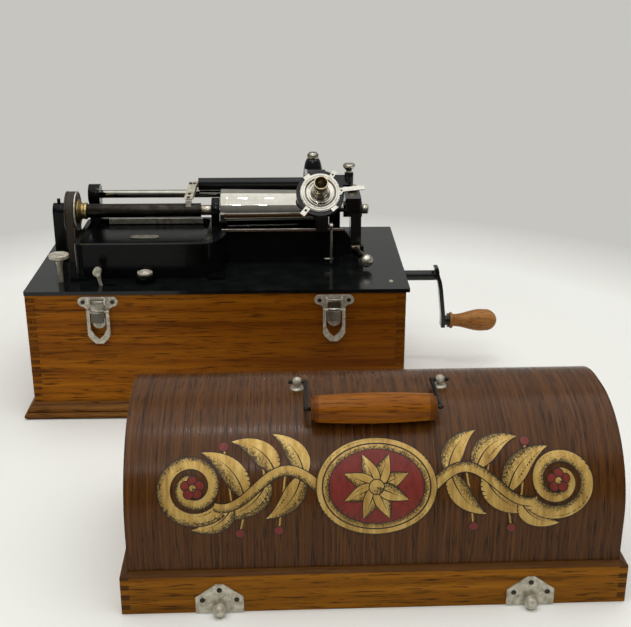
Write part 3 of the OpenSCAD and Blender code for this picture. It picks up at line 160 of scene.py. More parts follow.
def oak(name, grain, light, mid, dark, pore, roughness=0.42, end_axis=None, across=120,
        specular=0.09, painted_shade_x=None, painted_top_shade=None, ends=None):
    """Oak with broad figure and short dark pores along the grain; end_axis shows dark end grain.

    A pair of X places paints shade that darkens it along X, a colour for the top paints shade on what faces
    up, and ends gives the middle, start and share of a dark stretch at both ends, and the pitch of its finger
    joints or 0.
    """
    wood = Finish(name, specular_ior_level=specular)
    figure = wood.noise(wood.place(stretch(grain, 2.6, across)), 1.0, 5.0, 0.55, 0.6)
    colour = wood.ramp(figure, (0.28, dark), (0.5, mid), (0.74, light))
    pores = wood.noise(wood.place(stretch(grain, 40, 800)), 1.0, 3.0, 0.6)
    marks = wood.range(pores, 0.53, 0.66, 0.0, 0.85)
    colour = wood.blend(marks, colour, pore)
    # Painted shade: darker towards one end along X
    if painted_shade_x:
        colour = wood.blend(wood.range(wood.part(wood.place(), "X"), *painted_shade_x, 0.0, 0.6), colour, dark)
    if ends:
        centre, start, share, pitch = ends
        away = wood.calc("ABSOLUTE", wood.calc("SUBTRACT", wood.part(wood.place(), "X"), centre))
        dark_share = wood.range(away, start, start + MM, 0.0, share)
        if pitch:
            step = wood.calc("FRACT", wood.calc("DIVIDE", wood.part(wood.place(), "Z"), pitch))
            dark_share = wood.calc("MULTIPLY", dark_share, wood.range(step, 0.46, 0.54, 0.0, 1.0))
        colour = wood.blend(dark_share, colour, pore)
    # Painted shade on faces that look up
    if painted_top_shade:
        colour = wood.blend(wood.range(wood.normal("Z"), 0.2, 0.4, 0.0, 0.85), colour, painted_top_shade)
    if end_axis:
        end_face = wood.calc("ABSOLUTE", wood.normal(end_axis.upper()))
        colour = wood.blend(wood.range(end_face, 0.6, 0.9, 0.0, 0.55), colour, pore)
    wood.set(base_color=colour, roughness=wood.range(pores, 0.3, 0.7, roughness - 0.08, roughness + 0.12))
    wood.bump(pores, 0.00025, 0.35)
    return wood.material


def black_japan(name="gloss_black", tint=(0.0030, 0.0034, 0.0034), roughness=0.1, specular=0.3):
    black = Finish(name, specular_ior_level=specular, coat_weight=0.04, coat_roughness=0.06)
    cloud = black.noise(black.place((60, 60, 60)), 1.0, 6.0, 0.65)
    dust = black.noise(black.place((900, 900, 900)), 1.0, 2.0, 0.5)
    worn = tuple(2.4 * v for v in tint)
    black.set(base_color=black.ramp(cloud, (0.35, tint), (0.75, worn)),
              roughness=black.range(cloud, 0.3, 0.75, roughness, roughness + 0.12))
    black.bump(dust, 0.00003, 0.2)
    return black.material


def metal(name, bright, dull, roughness, spread, brushed=None, mottle=90, metallic=1.0):
    """Plated or turned metal with dull mottling; brushed names the axis that the turning marks run round."""
    plate = Finish(name, metallic=metallic)
    cloud = plate.noise(plate.place((mottle, mottle, mottle)), 1.0, 6.0, 0.62)
    plate.set(base_color=plate.ramp(cloud, (0.36, dull), (0.62, bright)),
              roughness=plate.range(cloud, 0.35, 0.65, roughness + spread, roughness))
    if brushed:
        lines = plate.noise(plate.place(stretch(brushed, 2600, 6)), 1.0, 2.0, 0.5)
        plate.bump(lines, 0.00004, 0.3)
    return plate.material


def wood_tones(*tones):
    """Light, middle, dark and pore colours of a wood, from screen values."""
    return {name: srgb(*tone) for name, tone in zip(("light", "mid", "dark", "pore"), tones)}


OAK_CASE = wood_tones((174, 108, 14), (146, 84, 6), (94, 45, 2), (46, 21, 1))
OAK_BASE = wood_tones((140, 94, 40), (114, 72, 26), (78, 45, 12), (40, 22, 7))
OAK_LID = wood_tones((100, 62, 25), (80, 46, 14), (56, 29, 7), (23, 12, 3))
OAK_SKIRT = wood_tones((168, 108, 22), (136, 84, 10), (97, 56, 5), (48, 26, 4))
OAK_EDGE = wood_tones((196, 146, 84), (168, 116, 58), (128, 80, 34), (70, 40, 16))
GRIP = wood_tones((182, 118, 38), (150, 88, 20), (108, 56, 9), (64, 31, 5))
PALE_GRIP = wood_tones((184, 134, 78), (154, 104, 54), (118, 74, 34), (80, 46, 18))
# Colour of the painted shade on the skirts' upward faces
SKIRT_TOP_SHADE = srgb(70, 42, 16)
SKIRT_SHIFT = 1.6


def end_marks(node, length, share, pitch=0, shift=0):
    """Dark stretch at both ends of a node, for oak's ends; its length, pitch and shift are in millimetres."""
    half = (high(node)[0] - low(node)[0]) / 2
    return middle(node).x + shift * MM, half - length * MM, share, pitch * MM


# The case front takes painted shade that darkens it along X
oak_front = oak("oak_along_front", "x", end_axis="x", painted_shade_x=(-0.15, 0.12), **OAK_CASE)
oak_side = oak("oak_along_side", "y", end_axis="y", **OAK_CASE)
oak_base = oak("oak_base", "x", **OAK_BASE)
# The skirts take painted shade on their upward faces
oak_skirt_front = oak("oak_skirt_long", "x", end_axis="x", painted_top_shade=SKIRT_TOP_SHADE,
                      ends=end_marks("lid_skirt_long", 9, 0.7, 9, SKIRT_SHIFT), **OAK_SKIRT)
oak_skirt_side = oak("oak_skirt_short", "y", end_axis="y", painted_top_shade=SKIRT_TOP_SHADE, **OAK_SKIRT)
oak_dome = oak("oak_dome", "yz", roughness=0.26, across=420, specular=0.17, **OAK_LID)
oak_edge = oak("oak_dome_edge", "x", **OAK_EDGE)
oak_end = oak("oak_lid_end", "y", **OAK_LID)
grip_wood = oak("turned_wood", "x", roughness=0.3, ends=end_marks("lid_grip", 6.5, 0.55), **GRIP)
pale_wood = oak("pale_turned_wood", "x", roughness=0.34, **PALE_GRIP)
gloss_black = black_japan()
deep_black = black_japan("deep_black", (0.0016, 0.0019, 0.0018), 0.14, 0.1)
dark_nickel = metal("dark_nickel", (0.36, 0.335, 0.28), (0.13, 0.11, 0.08), 0.22, 0.2)
nickel = metal("aged_nickel", (0.56, 0.53, 0.45), (0.24, 0.21, 0.15), 0.2, 0.22)
pale_plate = metal("pale_worn_plate", srgb(206, 200, 184), srgb(156, 147, 127), 0.34, 0.14,
                   mottle=240, metallic=0.4)
dull_plate = metal("dull_plate", srgb(146, 141, 128), srgb(100, 95, 84), 0.4, 0.15,
                   mottle=240, metallic=0.5)
mirror_nickel = metal("mirror_nickel", (0.45, 0.435, 0.385), (0.38, 0.365, 0.315), 0.012, 0.012)
bright_nickel = metal("bright_nickel", (0.58, 0.56, 0.50), (0.40, 0.385, 0.33), 0.09, 0.08)
steel = metal("turned_steel", (0.58, 0.56, 0.51), (0.40, 0.38, 0.33), 0.16, 0.1, brushed="x")
dark_steel = metal("dark_steel", (0.042, 0.036, 0.031), (0.018, 0.015, 0.013), 0.3, 0.12)
gunmetal = metal("gunmetal", (0.075, 0.062, 0.05), (0.03, 0.025, 0.021), 0.34, 0.15)
brass = metal("dull_brass", (0.46, 0.33, 0.13), (0.22, 0.145, 0.05), 0.28, 0.22)
neck_brass = metal("worn_neck", (0.62, 0.53, 0.36), (0.36, 0.27, 0.15), 0.2, 0.2)


def leather_belt():
    belt = Finish("belt_leather", specular_ior_level=0.3)
    grain = belt.noise(belt.place((700, 700, 700)), 1.0, 3.0, 0.6)
    belt.set(base_color=belt.ramp(grain, (0.3, srgb(40, 33, 26)), (0.7, srgb(66, 56, 44))),
             roughness=belt.range(grain, 0.3, 0.7, 0.5, 0.75))
    belt.bump(grain, 0.0001, 0.5)
    return belt.material


def clear_sheet():
    sheet = Finish("mica_sheet", roughness=0.12, transmission_weight=0.6, ior=1.55)
    cloud = sheet.noise(sheet.place((300, 300, 300)), 1.0, 4.0, 0.6)
    sheet.set(base_color=sheet.ramp(cloud, (0.3, srgb(196, 182, 140)), (0.7, srgb(228, 218, 186))))
    return sheet.material


def gilt():
    """Worn gold leaf with engraved dark shading along one edge of each band."""
    gold = Finish("gold_leaf", metallic=0.3, roughness=0.46, specular_ior_level=0.4)
    streak = gold.noise(gold.place((180, 60, 18)), 1.0, 6.0, 0.65)
    colour = gold.ramp(streak, (0.3, srgb(146, 110, 48)), (0.5, srgb(188, 152, 78)),
                       (0.72, srgb(214, 184, 112)))
    across = gold.part(gold.place(kind="UV"), "Y")
    hatch = gold.noise(gold.place((900, 300, 900)), 1.0, 2.0, 0.5)
    shade = gold.range(across, 0.45, 1.0, -0.25, 0.75)
    shade = gold.calc("ADD", shade, gold.range(hatch, 0.4, 0.6, -0.3, 0.3))
    gold.set(base_color=gold.blend(gold.range(shade, 0.0, 0.7, 0.0, 0.9), colour, srgb(40, 29, 14)))
    return gold.material


def paint(name, tone, worn):
    """Flat old paint that is a little worn."""
    coat = Finish(name, roughness=0.5, specular_ior_level=0.35)
    patch = coat.noise(coat.place((240, 120, 60)), 1.0, 5.0, 0.6)
    coat.set(base_color=coat.ramp(patch, (0.35, tone), (0.75, worn)))
    return coat.material


def two_metals(name, axis, split, first, second):
    """Metal that changes colour at a place along an axis."""
    plate = Finish(name, metallic=1.0)
    along = plate.part(plate.place(), axis)
    cloud = plate.noise(plate.place((90, 90, 90)), 1.0, 6.0, 0.62)
    colour = plate.blend(plate.range(along, split - MM, split + MM, 0.0, 1.0), first, second)
    plate.set(base_color=plate.blend(plate.range(cloud, 0.4, 0.65, 0.0, 0.45), colour, (0.2, 0.15, 0.08)),
              roughness=plate.range(cloud, 0.35, 0.65, 0.2, 0.38))
    return plate.material


# The left collar is brass and the right one nickel; the gate lever's ball is bright and its shaft dark
COLLAR_SPLIT = -80 * MM
BALL_WIDTH = 14.5 * MM
ball_end = low("gate_lever")[1] + BALL_WIDTH
collar_metal = two_metals("collar_metal", "X", COLLAR_SPLIT, (0.46, 0.35, 0.16), (0.40, 0.36, 0.29))
lever_metal = two_metals("lever_metal", "Y", ball_end, (0.60, 0.57, 0.49), (0.060, 0.046, 0.036))
leather = leather_belt()
mica = clear_sheet()
gold_leaf = gilt()
# Dark paint of the ornament's outlines and veins; the same material is painted shade in screw slots, holes
# and a crevice
dark_paint_and_shade = paint("dark_paint_and_shade", srgb(30, 20, 12), srgb(52, 34, 20))
dark_red = paint("dark_red", srgb(106, 28, 19), srgb(130, 43, 30))

# CAD nodes keep their shapes and take these finishes
DRESS = [
    (oak_front, 0.5, "case_front case_back bottom_board"),
    (oak_base, 0.5, "base_moulding"),
    (oak_side, 0.5, "case_left case_right"),
    (oak_skirt_front, 0.6, "lid_skirt_long"),
    (oak_skirt_side, 0.6, "lid_skirt_short"),
    (oak_dome, 0, "lid_dome"),
    (oak_end, 0.5, "lid_ends"),
    (grip_wood, 0, "lid_grip"),
    (pale_wood, 0, "crank_grip"),
    (gloss_black, 0.8, "bed_plate carriage crank_bush crank_shaft crank_arm"),
    (deep_black, 0.8, "body_casting end_bearing"),
    (gloss_black, 2.2, "end_gate"),
    (pale_plate, 0.3, "latch_plates latch_loop_left latch_loop_right screws lid_fittings"),
    (dark_nickel, 0.3, "latch_lever_left latch_lever_right carriage_cap gate_centre"),
    (pale_plate, 0.3, "scale_bar speed_screw start_lever feed_nut_spring"),
    (dull_plate, 0.2, "name_plate"),
    (nickel, 0.3, "lift_lever floating_weight thumb_screw"),
    (lever_metal, 0.3, "gate_lever"),
    (mirror_nickel, 0.3, "mandrel back_rod"),
    (bright_nickel, 0.3, "reproducer_shell clamp_ring"),
    (steel, 0.3, "straight_edge main_shaft mainspring"),
    (dark_steel, 0.3, "feed_screw lid_bail"),
    (gunmetal, 0.3, "start_bracket motor_frame driven_pulley winding_gear spring_barrel"),
    (brass, 0.3, "pulley_hub rod_bush drive_arbor governor"),
    (collar_metal, 0.3, "shaft_collars"),
    (neck_brass, 0.2, "reproducer_neck"),
    (leather, 0, "drive_belt"),
    (mica, 0, "diaphragm"),
]


def dress(material, bevel, names):
    for name in names.split():
        obj = nodes[name]
        obj.data.materials.clear()
        obj.data.materials.append(material)
        if bevel:
            obj.modifiers.new("weld", "WELD").merge_threshold = 0.001 * MM
            edge = obj.modifiers.new("bevel", "BEVEL")
            edge.width = bevel * MM
            edge.segments = 2
            edge.limit_method = "ANGLE"
            edge.angle_limit = math.radians(40)
            edge.harden_normals = True


for material, bevel, names in DRESS:
    dress(material, bevel, names)


# Shapes made here

class Shape:
    """Mesh gathered from grids of points in millimetres.

    Each grid has its own points, so its rim stays sharp.
    """

    def __init__(self):
        self.points, self.faces, self.slots, self.uvs = [], [], [], []

    def grid(self, rows, slot=0, ring=False):
        """Skin over rows of points; ring joins the last column to the first."""
        start, wide, tall = len(self.points), len(rows[0]), len(rows)
        for i, row in enumerate(rows):
            self.points.extend(Vector(p) for p in row)
            self.uvs.extend((i / max(tall - 1, 1), j / max(wide - 1, 1)) for j in range(wide))
        for i in range(tall - 1):
            for j in range(wide if ring else wide - 1):
                k = (j + 1) % wide
                self.faces.append([start + i * wide + j, start + i * wide + k,
                                   start + (i + 1) * wide + k, start + (i + 1) * wide + j])
                self.slots.append(slot)
        return self

    def fan(self, rim, slot=0):
        start = len(self.points)
        self.points.extend(Vector(p) for p in rim)
        self.uvs.extend((0.5, 0.5) for p in rim)
        self.faces.append([start + i for i in range(len(rim))])
        self.slots.append(slot)
        return self

    def build(self, name, materials, place=None):
        mesh = bpy.data.meshes.new(name)
        place = place or Matrix.Identity(4)
        mesh.from_pydata([place @ (p * MM) for p in self.points], [], self.faces)
        for material in materials:
            mesh.materials.append(material)
        layer = mesh.uv_layers.new(name="along_across")
        for face, slot in zip(mesh.polygons, self.slots):
            face.material_index = slot
            face.use_smooth = len(face.vertices) == 4
            for loop in face.loop_indices:
                layer.data[loop].uv = self.uvs[mesh.loops[loop].vertex_index]
        work = bmesh.new()
        work.from_mesh(mesh)
        bmesh.ops.recalc_face_normals(work, faces=work.faces)
        work.to_mesh(mesh)
        work.free()
        obj = bpy.data.objects.new(name, mesh)
        bpy.context.collection.objects.link(obj)
        return obj


# The lid's dome in its own frame: half length, half depth, flat crown, spring line and wall
LID_YAW = 0.9
DOME_HALF = (195, 94)
DOME_FLAT = 7.5
DOME_SPRING = 75
DOME_WALL = 5
DOME_FOOT = low("lid_dome")[2] / MM
DOME_CROWN = high("lid_dome")[2] / MM
lid_middle = middle("lid_dome")
lid_place = (Matrix.Translation((lid_middle.x, lid_middle.y, 0))
             @ Matrix.Rotation(math.radians(LID_YAW), 4, "Z"))


def dome_outline(inset, steps=48):
    """Depth and height from the front foot over the crown to the back foot, drawn in by the inset."""
    wide = DOME_HALF[1] - DOME_FLAT - inset
    tall = DOME_CROWN - DOME_SPRING - inset
    front = [(inset - DOME_HALF[1], DOME_FOOT + (DOME_SPRING - DOME_FOOT) * i / 8) for i in range(8)]
    for i in range(steps + 1):
        turn = math.pi / 2 * i / steps
        front.append((-DOME_FLAT - wide * math.cos(turn), DOME_SPRING + tall * math.sin(turn)))
    return front + [(-y, z) for y, z in reversed(front)]


def dome_skin():
    """Smooth bent dome with pale raw edges at its two ends."""
    ends = (-DOME_HALF[0], DOME_HALF[0])
    outer, inner = dome_outline(0), dome_outline(DOME_WALL)
    shape = Shape()
    for line in (outer, inner):
        shape.grid([[(x, y, z) for x in ends] for y, z in line])
    for x in ends:
        shape.grid([[(x, *a), (x, *b)] for a, b in zip(outer, inner)], slot=1)
    for a, b in ((outer[0], inner[0]), (outer[-1], inner[-1])):
        shape.grid([[(x, *a) for x in ends], [(x, *b) for x in ends]])
    skin = shape.build("dome_skin", [oak_dome, oak_edge], lid_place)
    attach(skin, "lid")
    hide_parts("lid_dome")


dome_skin()


# Gilt ornament on the dome's front, laid out across and up along the curve from its foot
ORNAMENT_UP = 68
OUTLINE = 1.6
LIFT = 0.1
LIFT_STEP = 0.006


def dome_front():
    """Points of the dome's front half and their distances along the curve."""
    line = dome_outline(0, 96)
    line = line[:len(line) // 2]
    walk = [0.0]
    for a, b in zip(line, line[1:]):
        walk.append(walk[-1] + math.dist(a, b))
    return walk, [Vector(p) for p in line]


front_walk, front_line = dome_front()


def on_dome(x, up, lift):
    """Point at the given lift off the dome's front."""
    i = min(max(bisect.bisect_right(front_walk, up) - 1, 0), len(front_walk) - 2)
    a, b = front_line[i], front_line[i + 1]
    at = a.lerp(b, (up - front_walk[i]) / (front_walk[i + 1] - front_walk[i]))
    way = (b - a).normalized()
    return (x, at.x - lift * way.y, at.y + lift * way.x)


class Ornament(Shape):
    """Flat gilt work; each piece lies on a dark outline and just above the pieces before it."""
    GOLD, LINE, RED = 0, 1, 2
    lift = LIFT

    def over(self):
        self.lift += LIFT_STEP
        return self.lift

    def ribbon(self, path, width, slot):
        steps = len(path) - 1
        lift = self.over()
        rows = []
        for i, (x, up) in enumerate(path):
            way = (Vector(path[min(i + 1, steps)]) - Vector(path[max(i - 1, 0)])).normalized()
            half = width(i / steps) / 2
            rows.append([on_dome(x - way.y * half * k, up + way.x * half * k, lift)
                         for k in (-1, -0.5, 0, 0.5, 1)])
        self.grid(rows, slot)

    def band(self, path, width):
        """Gold band along a path; width gives its breadth at each share of the path."""
        self.ribbon(path, lambda share: width(share) + OUTLINE, self.LINE)
        self.ribbon(path, width, self.GOLD)

    def leaf(self, x, up, angle, length, wide, bend, side):
        """Pointed leaf with a dark vein, bending as it grows."""
        path = []
        for i in range(17):
            path.append((side * x, up))
            turn = math.radians(angle + bend * i / 16)
            x += math.cos(turn) * length / 16
            up += math.sin(turn) * length / 16
        self.band(path, lambda share: wide * math.sin(math.pi * share ** 0.7))
        self.ribbon(path[1:14], lambda share: 1.3 * (1 - share), self.LINE)

    def disc(self, x, up, radius, slot, tall=1.0):
        """Round or oval patch on its outline."""
        for fill, more in ((self.LINE, OUTLINE / 2), (slot, 0)):
            lift = self.over()
            rows = []
            rings = 3 + round(radius / 2)
            for k in range(rings + 1):
                size = (0.02 + 0.98 * k / rings) * (radius + more)
                rows.append([on_dome(x + size * math.cos(a), up + tall * size * math.sin(a), lift)
                             for a in (2 * math.pi * i / 40 for i in range(40))])
            self.grid(rows, fill, ring=True)

    def flower(self, x, up, size, side):
        """Red flower of five petals with a gold eye."""
        for i in range(5):
            turn = 2 * math.pi * i / 5 + 0.3
            self.disc(side * (x + size * math.cos(turn)), up + size * math.sin(turn), size * 0.62, self.RED)
        self.disc(side * x, up, size * 0.45, self.GOLD)


def oval(wide, tall, steps=72):
    return [(wide * math.cos(2 * math.pi * i / steps), ORNAMENT_UP + tall * math.sin(2 * math.pi * i / steps))
            for i in range(steps + 1)]


def volute(x, up, wide, tight, start, turns, side, steps=60):
    path = []
    for i in range(steps + 1):
        size = wide + (tight - wide) * i / steps
        turn = math.radians(start + 360 * turns * i / steps)
        path.append((side * (x + size * math.cos(turn)), up + size * math.sin(turn)))
    return path


def stem_at(x):
    """Height of the waving stem."""
    return ORNAMENT_UP + 14 * math.sin(2 * math.pi * (x - 44) / 100)


def dome_ornament():
    """Oval medallion with a rosette, and on each side a leafy scroll with red flowers."""
    work = Ornament()
    for side in (-1, 1):
        for x, rise in ((66, 38), (92, 36), (76, -34), (118, 34), (106, -36)):
            foot = stem_at(x - 6)
            stalk = [(side * (x - 6 + 6 * i / 8), foot + (ORNAMENT_UP + rise - foot) * i / 8)
                     for i in range(9)]
            work.ribbon(stalk, lambda share: 1.6, work.GOLD)
            work.disc(side * x, ORNAMENT_UP + rise, 3.4, work.RED)
        for x, angle, length, wide, bend in (
                (56, 84, 44, 16, -62), (58, -78, 46, 16, 58), (78, 72, 46, 18, -74), (84, -70, 50, 18, 66),
                (102, 78, 52, 18, -66), (112, -66, 40, 15, 74)):
            work.leaf(x, stem_at(x), angle, length, wide, bend, side)
        work.band([(side * x, stem_at(x)) for x in range(40, 128, 2)], lambda share: 8 - 2 * share)
        work.band(volute(142, ORNAMENT_UP + 2, 27, 6, -140, 1.7, side), lambda share: 11 - 6 * share)
        work.flower(142, ORNAMENT_UP + 2, 5.5, side)
    work.disc(0, ORNAMENT_UP, 40, work.RED, tall=0.8)
    work.band(oval(42, 34), lambda share: 9)
    work.ribbon(oval(42, 34), lambda share: 1.2, work.LINE)
    for i in range(8):
        work.leaf(0, ORNAMENT_UP, 45 * i + 22.5, 27, 12, 0, 1)
    work.disc(0, ORNAMENT_UP, 5.5, work.GOLD)
    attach(work.build("dome_ornament", [gold_leaf, dark_paint_and_shade, dark_red], lid_place), "lid")


dome_ornament()


# Small fittings

# Small lift of the flat marks of painted shade off their ground, and the radius that closes a turned piece
SLOT_LIFT = 0.04
MARK_LIFT = 0.1
POINT = 0.02
SCREW_STEPS = 28
# Places of the fittings on the solids, in millimetres
AXIS_Y = 8
AXIS_Z = 197.5
GATE_PIN = (152, 38)
HOLD_AT = (-77.5, -84, 154.95)
STRIKE_X = 123.5
STRIKE_FACE = -101.4
STRIKE_SCREWS = ((0, 21.5), (-13.5, 12.5), (13.5, 12.5))
LATCH_FACE = -116.95
LATCH_X = 124.5
LATCH_SIDE = 15.5
LATCH_HIGH = 132.9
WEB_SINK = 0.97
WEB_BACK = 2.4
WEB_OUTLINE = ((-20.6, 133), (-9.6, 122.4), (9.6, 122.4), (20.6, 133))
STRAP_FROM = Vector((-33.05, 41, 222))
STRAP_TO = Vector((-36.52, 6, 211.4))
STRAP_SCREWS = ((0.08, -2.2), (0.08, 2.2), (0.7, 0), (0.92, 0))
# Radii and lift of the ring of painted shade under the hold-down screw's head
HOLD_SHADE_RING = ((6.6, 0.03), (7.3, 0.03))
PULLEY_RIM = 22.5
PULLEY_EDGE = ((0.1, -1.1), (0.1, 0.1), (-1.0, 0.5), (-1.8, 0.03))
PIN_CAP_R = 6
PIN_CAP_FOOT = 2
PIN_CAP_RISE = 5
PIN_CAP_LIFT = 0.15


def circle(radius, height, steps):
    turns = (2 * math.pi * i / steps for i in range(steps))
    return [(radius * math.cos(a), radius * math.sin(a), height) for a in turns]


def turned(name, profile, place, material, body, steps=40):
    """Piece turned about its own Z axis from (radius, height) points in millimetres."""
    rows = [circle(radius, height, steps) for radius, height in profile]
    obj = Shape().grid(rows, ring=True).build(name, [material], place)
    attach(obj, body)


def facing(x, y, z, normal):
    """Frame at a point in millimetres whose Z axis is the normal."""
    turn = Vector(normal).to_track_quat("Z", "Y").to_matrix().to_4x4()
    return Matrix.Translation(Vector((x, y, z)) * MM) @ turn


def screw_head(name, place, radius, tall, body, material, slot_turn):
    """Slotted screw head; its slot is a dark strip of painted shade."""
    head = Shape()
    profile = ((radius, 0), (radius, 0.5 * tall), (0.8 * radius, tall), (POINT, tall))
    for lower, upper in zip(profile, profile[1:]):
        head.grid([circle(*lower, SCREW_STEPS), circle(*upper, SCREW_STEPS)], ring=True)
    turn = math.radians(slot_turn)
    way = Vector((math.cos(turn), math.sin(turn), 0))
    side = Vector((-way.y, way.x, 0)) * 0.16 * radius
    rise = Vector((0, 0, tall + SLOT_LIFT))
    # Dark strip of painted shade for the slot
    head.grid([[way * k * 0.78 * radius + side * j + rise for j in (-1, 1)] for k in (-1, 1)], slot=1)
    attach(head.build(name, [material, dark_paint_and_shade], place), body)


def fitting_screws():
    """Screws of the latch plates and of the lid's strikes."""
    for s in (-1, 1):
        for i in (-1, 1):
            place = facing(s * LATCH_X + i * LATCH_SIDE, LATCH_FACE, LATCH_HIGH, (0, -1, 0))
            screw_head(f"latch_screw_{s}_{i}", place, 2.3, 0.5, "case", gunmetal, 50 * i)
        for i, (x, z) in enumerate(STRIKE_SCREWS):
            place = lid_place @ facing(s * STRIKE_X + x, STRIKE_FACE, z, (0, -1, 0))
            screw_head(f"strike_screw_{s}_{i}", place, 2.1, 0.7, "lid", gunmetal, 40 * i + 15)


def strap_screws():
    """Screws of the feed nut's strap."""
    way = (STRAP_TO - STRAP_FROM).normalized()
    normal = Vector((0, way.z, -way.y)).normalized()
    for i, (share, side) in enumerate(STRAP_SCREWS):
        place = facing(*(STRAP_FROM.lerp(STRAP_TO, share) + Vector((side, 0, 0))), normal)
        screw_head(f"strap_screw_{i}", place, 1.9, 0.6, "carriage", gunmetal, 35 * i)


def hold_shade_ring():
    """Dark ring of painted shade in the crevice between the hold-down screw's washer and its domed head."""
    place = facing(*HOLD_AT, (0, 0, 1))
    turned("hold_shade_ring", HOLD_SHADE_RING, place, dark_paint_and_shade, "case")


def latch_webs():
    """Sloping shoulders of the latch plates, from the wings down to the tongue."""
    face, back = LATCH_FACE + WEB_SINK, LATCH_FACE + WEB_BACK
    for s in (-1, 1):
        web = Shape().fan([(s * LATCH_X + x, face, z) for x, z in WEB_OUTLINE])
        web.grid([[(s * LATCH_X + x, y, z) for y in (face, back)] for x, z in WEB_OUTLINE])
        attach(web.build(f"latch_web_{s}", [pale_plate]), "case")


def pin_cap():
    """Brown domed cap on the gate's hinge pin."""
    place = facing(*GATE_PIN, high("end_gate")[2] / MM + PIN_CAP_LIFT, (0, 0, 1))
    turns = [0.3 * i for i in range(6)]
    dome = [(PIN_CAP_R * math.cos(a), PIN_CAP_FOOT + PIN_CAP_RISE * math.sin(a)) for a in turns]
    turned("pin_cap", [(POINT, 0), (PIN_CAP_R, 0)] + dome, place, neck_brass, "case")


def pulley_edge_highlight():
    """Bright nickel edge of the driven pulley, in a pale diffuse finish that paints its highlight."""
    place = facing(high("driven_pulley")[0] / MM, AXIS_Y, AXIS_Z, (1, 0, 0))
    edge = [(PULLEY_RIM + out, along) for out, along in PULLEY_EDGE]
    turned("pulley_edge_highlight", edge, place, pale_plate, "mandrel", 64)


# Frame of the reproducer: Z along its tilted axis, Y up in its plane
REPRO_X = 112.7
REPRO_RISE = 4.9
REPRO_TILT = 36
repro_place = (Matrix.Translation(Vector((REPRO_X, AXIS_Y, AXIS_Z)) * MM)
               @ Matrix.Rotation(math.radians(90 - REPRO_TILT), 4, "X")
               @ Matrix.Translation((0, REPRO_RISE * MM, 0)))
# Radius and height of the dish, from its rim in to the neck
DISH = ((16.2, 38.1), (16.0, 39.6), (15.0, 40.2), (13.4, 39.4), (11.4, 39.2), (9.8, 40.4), (8.7, 43.0),
        (8.1, 45.0), (7.9, 45.0))
DISH_SLOTS = (-3.2, 0.4, 3.6)
DISH_SLOT_UP = -13.2
DISH_SLOT_HIGH = 40.25
DISH_SLOT_R = 1.3
# Radius, height and scallop of the clamp ring's lip, and the place and radius of each hole
LIP = ((19.7, 39.9, 0), (19.7, 41.0, 0), (21.6, 41.0, 0.28), (22.1, 39.9, 0.28))
LIP_WAVES = 48
LIP_STEPS = 288
CLAMP_HOLES = ((23.2, 6.2, 1.1), (23.6, 2.2, 1.1), (21.6, -3.6, 1.1), (-16.4, -21.0, 1.5), (14.2, 21.0, 1.2))
CLAMP_FACE = 39.86
HOLE_LIFT = 0.08


def on_reproducer(x, y, z):
    return repro_place @ Matrix.Translation(Vector((x, y, z)) * MM)


def reproducer_dish():
    """Bright dish inside the rim, flaring up to the neck, with flat dark discs of painted shade for the slots
    at its foot.
    """
    turned("dish_flare", DISH, repro_place, bright_nickel, "carriage", 64)
    for i, x in enumerate(DISH_SLOTS):
        # Each slot is a flat dark disc of painted shade
        place = on_reproducer(x, DISH_SLOT_UP, DISH_SLOT_HIGH)
        mark = ((POINT, MARK_LIFT), (DISH_SLOT_R, MARK_LIFT))
        turned(f"dish_slot_{i}", mark, place, dark_paint_and_shade, "carriage", 16)


def scalloped(radius, height, wave):
    """Ring of points whose radius waves in and out."""
    row = []
    for i in range(LIP_STEPS):
        turn = 2 * math.pi * i / LIP_STEPS
        size = radius + wave * math.cos(LIP_WAVES * turn)
        row.append((size * math.cos(turn), size * math.sin(turn), height))
    return row


def clamp_rim():
    """Scalloped lip on the clamp ring, and flat dark discs of painted shade for the holes in its plate and
    tabs.
    """
    lip = Shape()
    for inner, outer in zip(LIP, LIP[1:]):
        lip.grid([scalloped(*inner), scalloped(*outer)], ring=True)
    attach(lip.build("clamp_lip", [bright_nickel], repro_place), "clamp_ring")
    for i, (x, y, radius) in enumerate(CLAMP_HOLES):
        # Each hole is a flat dark disc of painted shade
        mark = ((POINT, HOLE_LIFT), (radius, HOLE_LIFT))
        turned(f"clamp_hole_{i}", mark, on_reproducer(x, y, CLAMP_FACE), dark_paint_and_shade, "clamp_ring", 20)


fitting_screws()
latch_webs()
hold_shade_ring()
strap_screws()
pin_cap()
pulley_edge_highlight()
reproducer_dish()
clamp_rim()

# Floor, light and camera
FLOOR_RADIUS = 12
FLOOR_NEAR = srgb(243, 243, 238)
FLOOR_FAR = srgb(199, 197, 191)
FLOOR_MIDDLE = (0.05, -0.15, 0)
FLOOR_FADE = (0.62, 0.86)
ROOM_TONE = srgb(240, 240, 236)
ROOM_LOW = 0.1
ROOM_ABOVE = 0.34
ROOM_BEHIND = 0.22
# Spacing of the lamps in the two rows, the shift of the front row and what the lights point at
CEILING_STEP = 0.083
FRONT_STEP = 0.109
FRONT_SHIFT = -0.024
LIT = (0.05, -0.2, 0)
LIT_FRONT = (0.05, -0.2, 0.1)


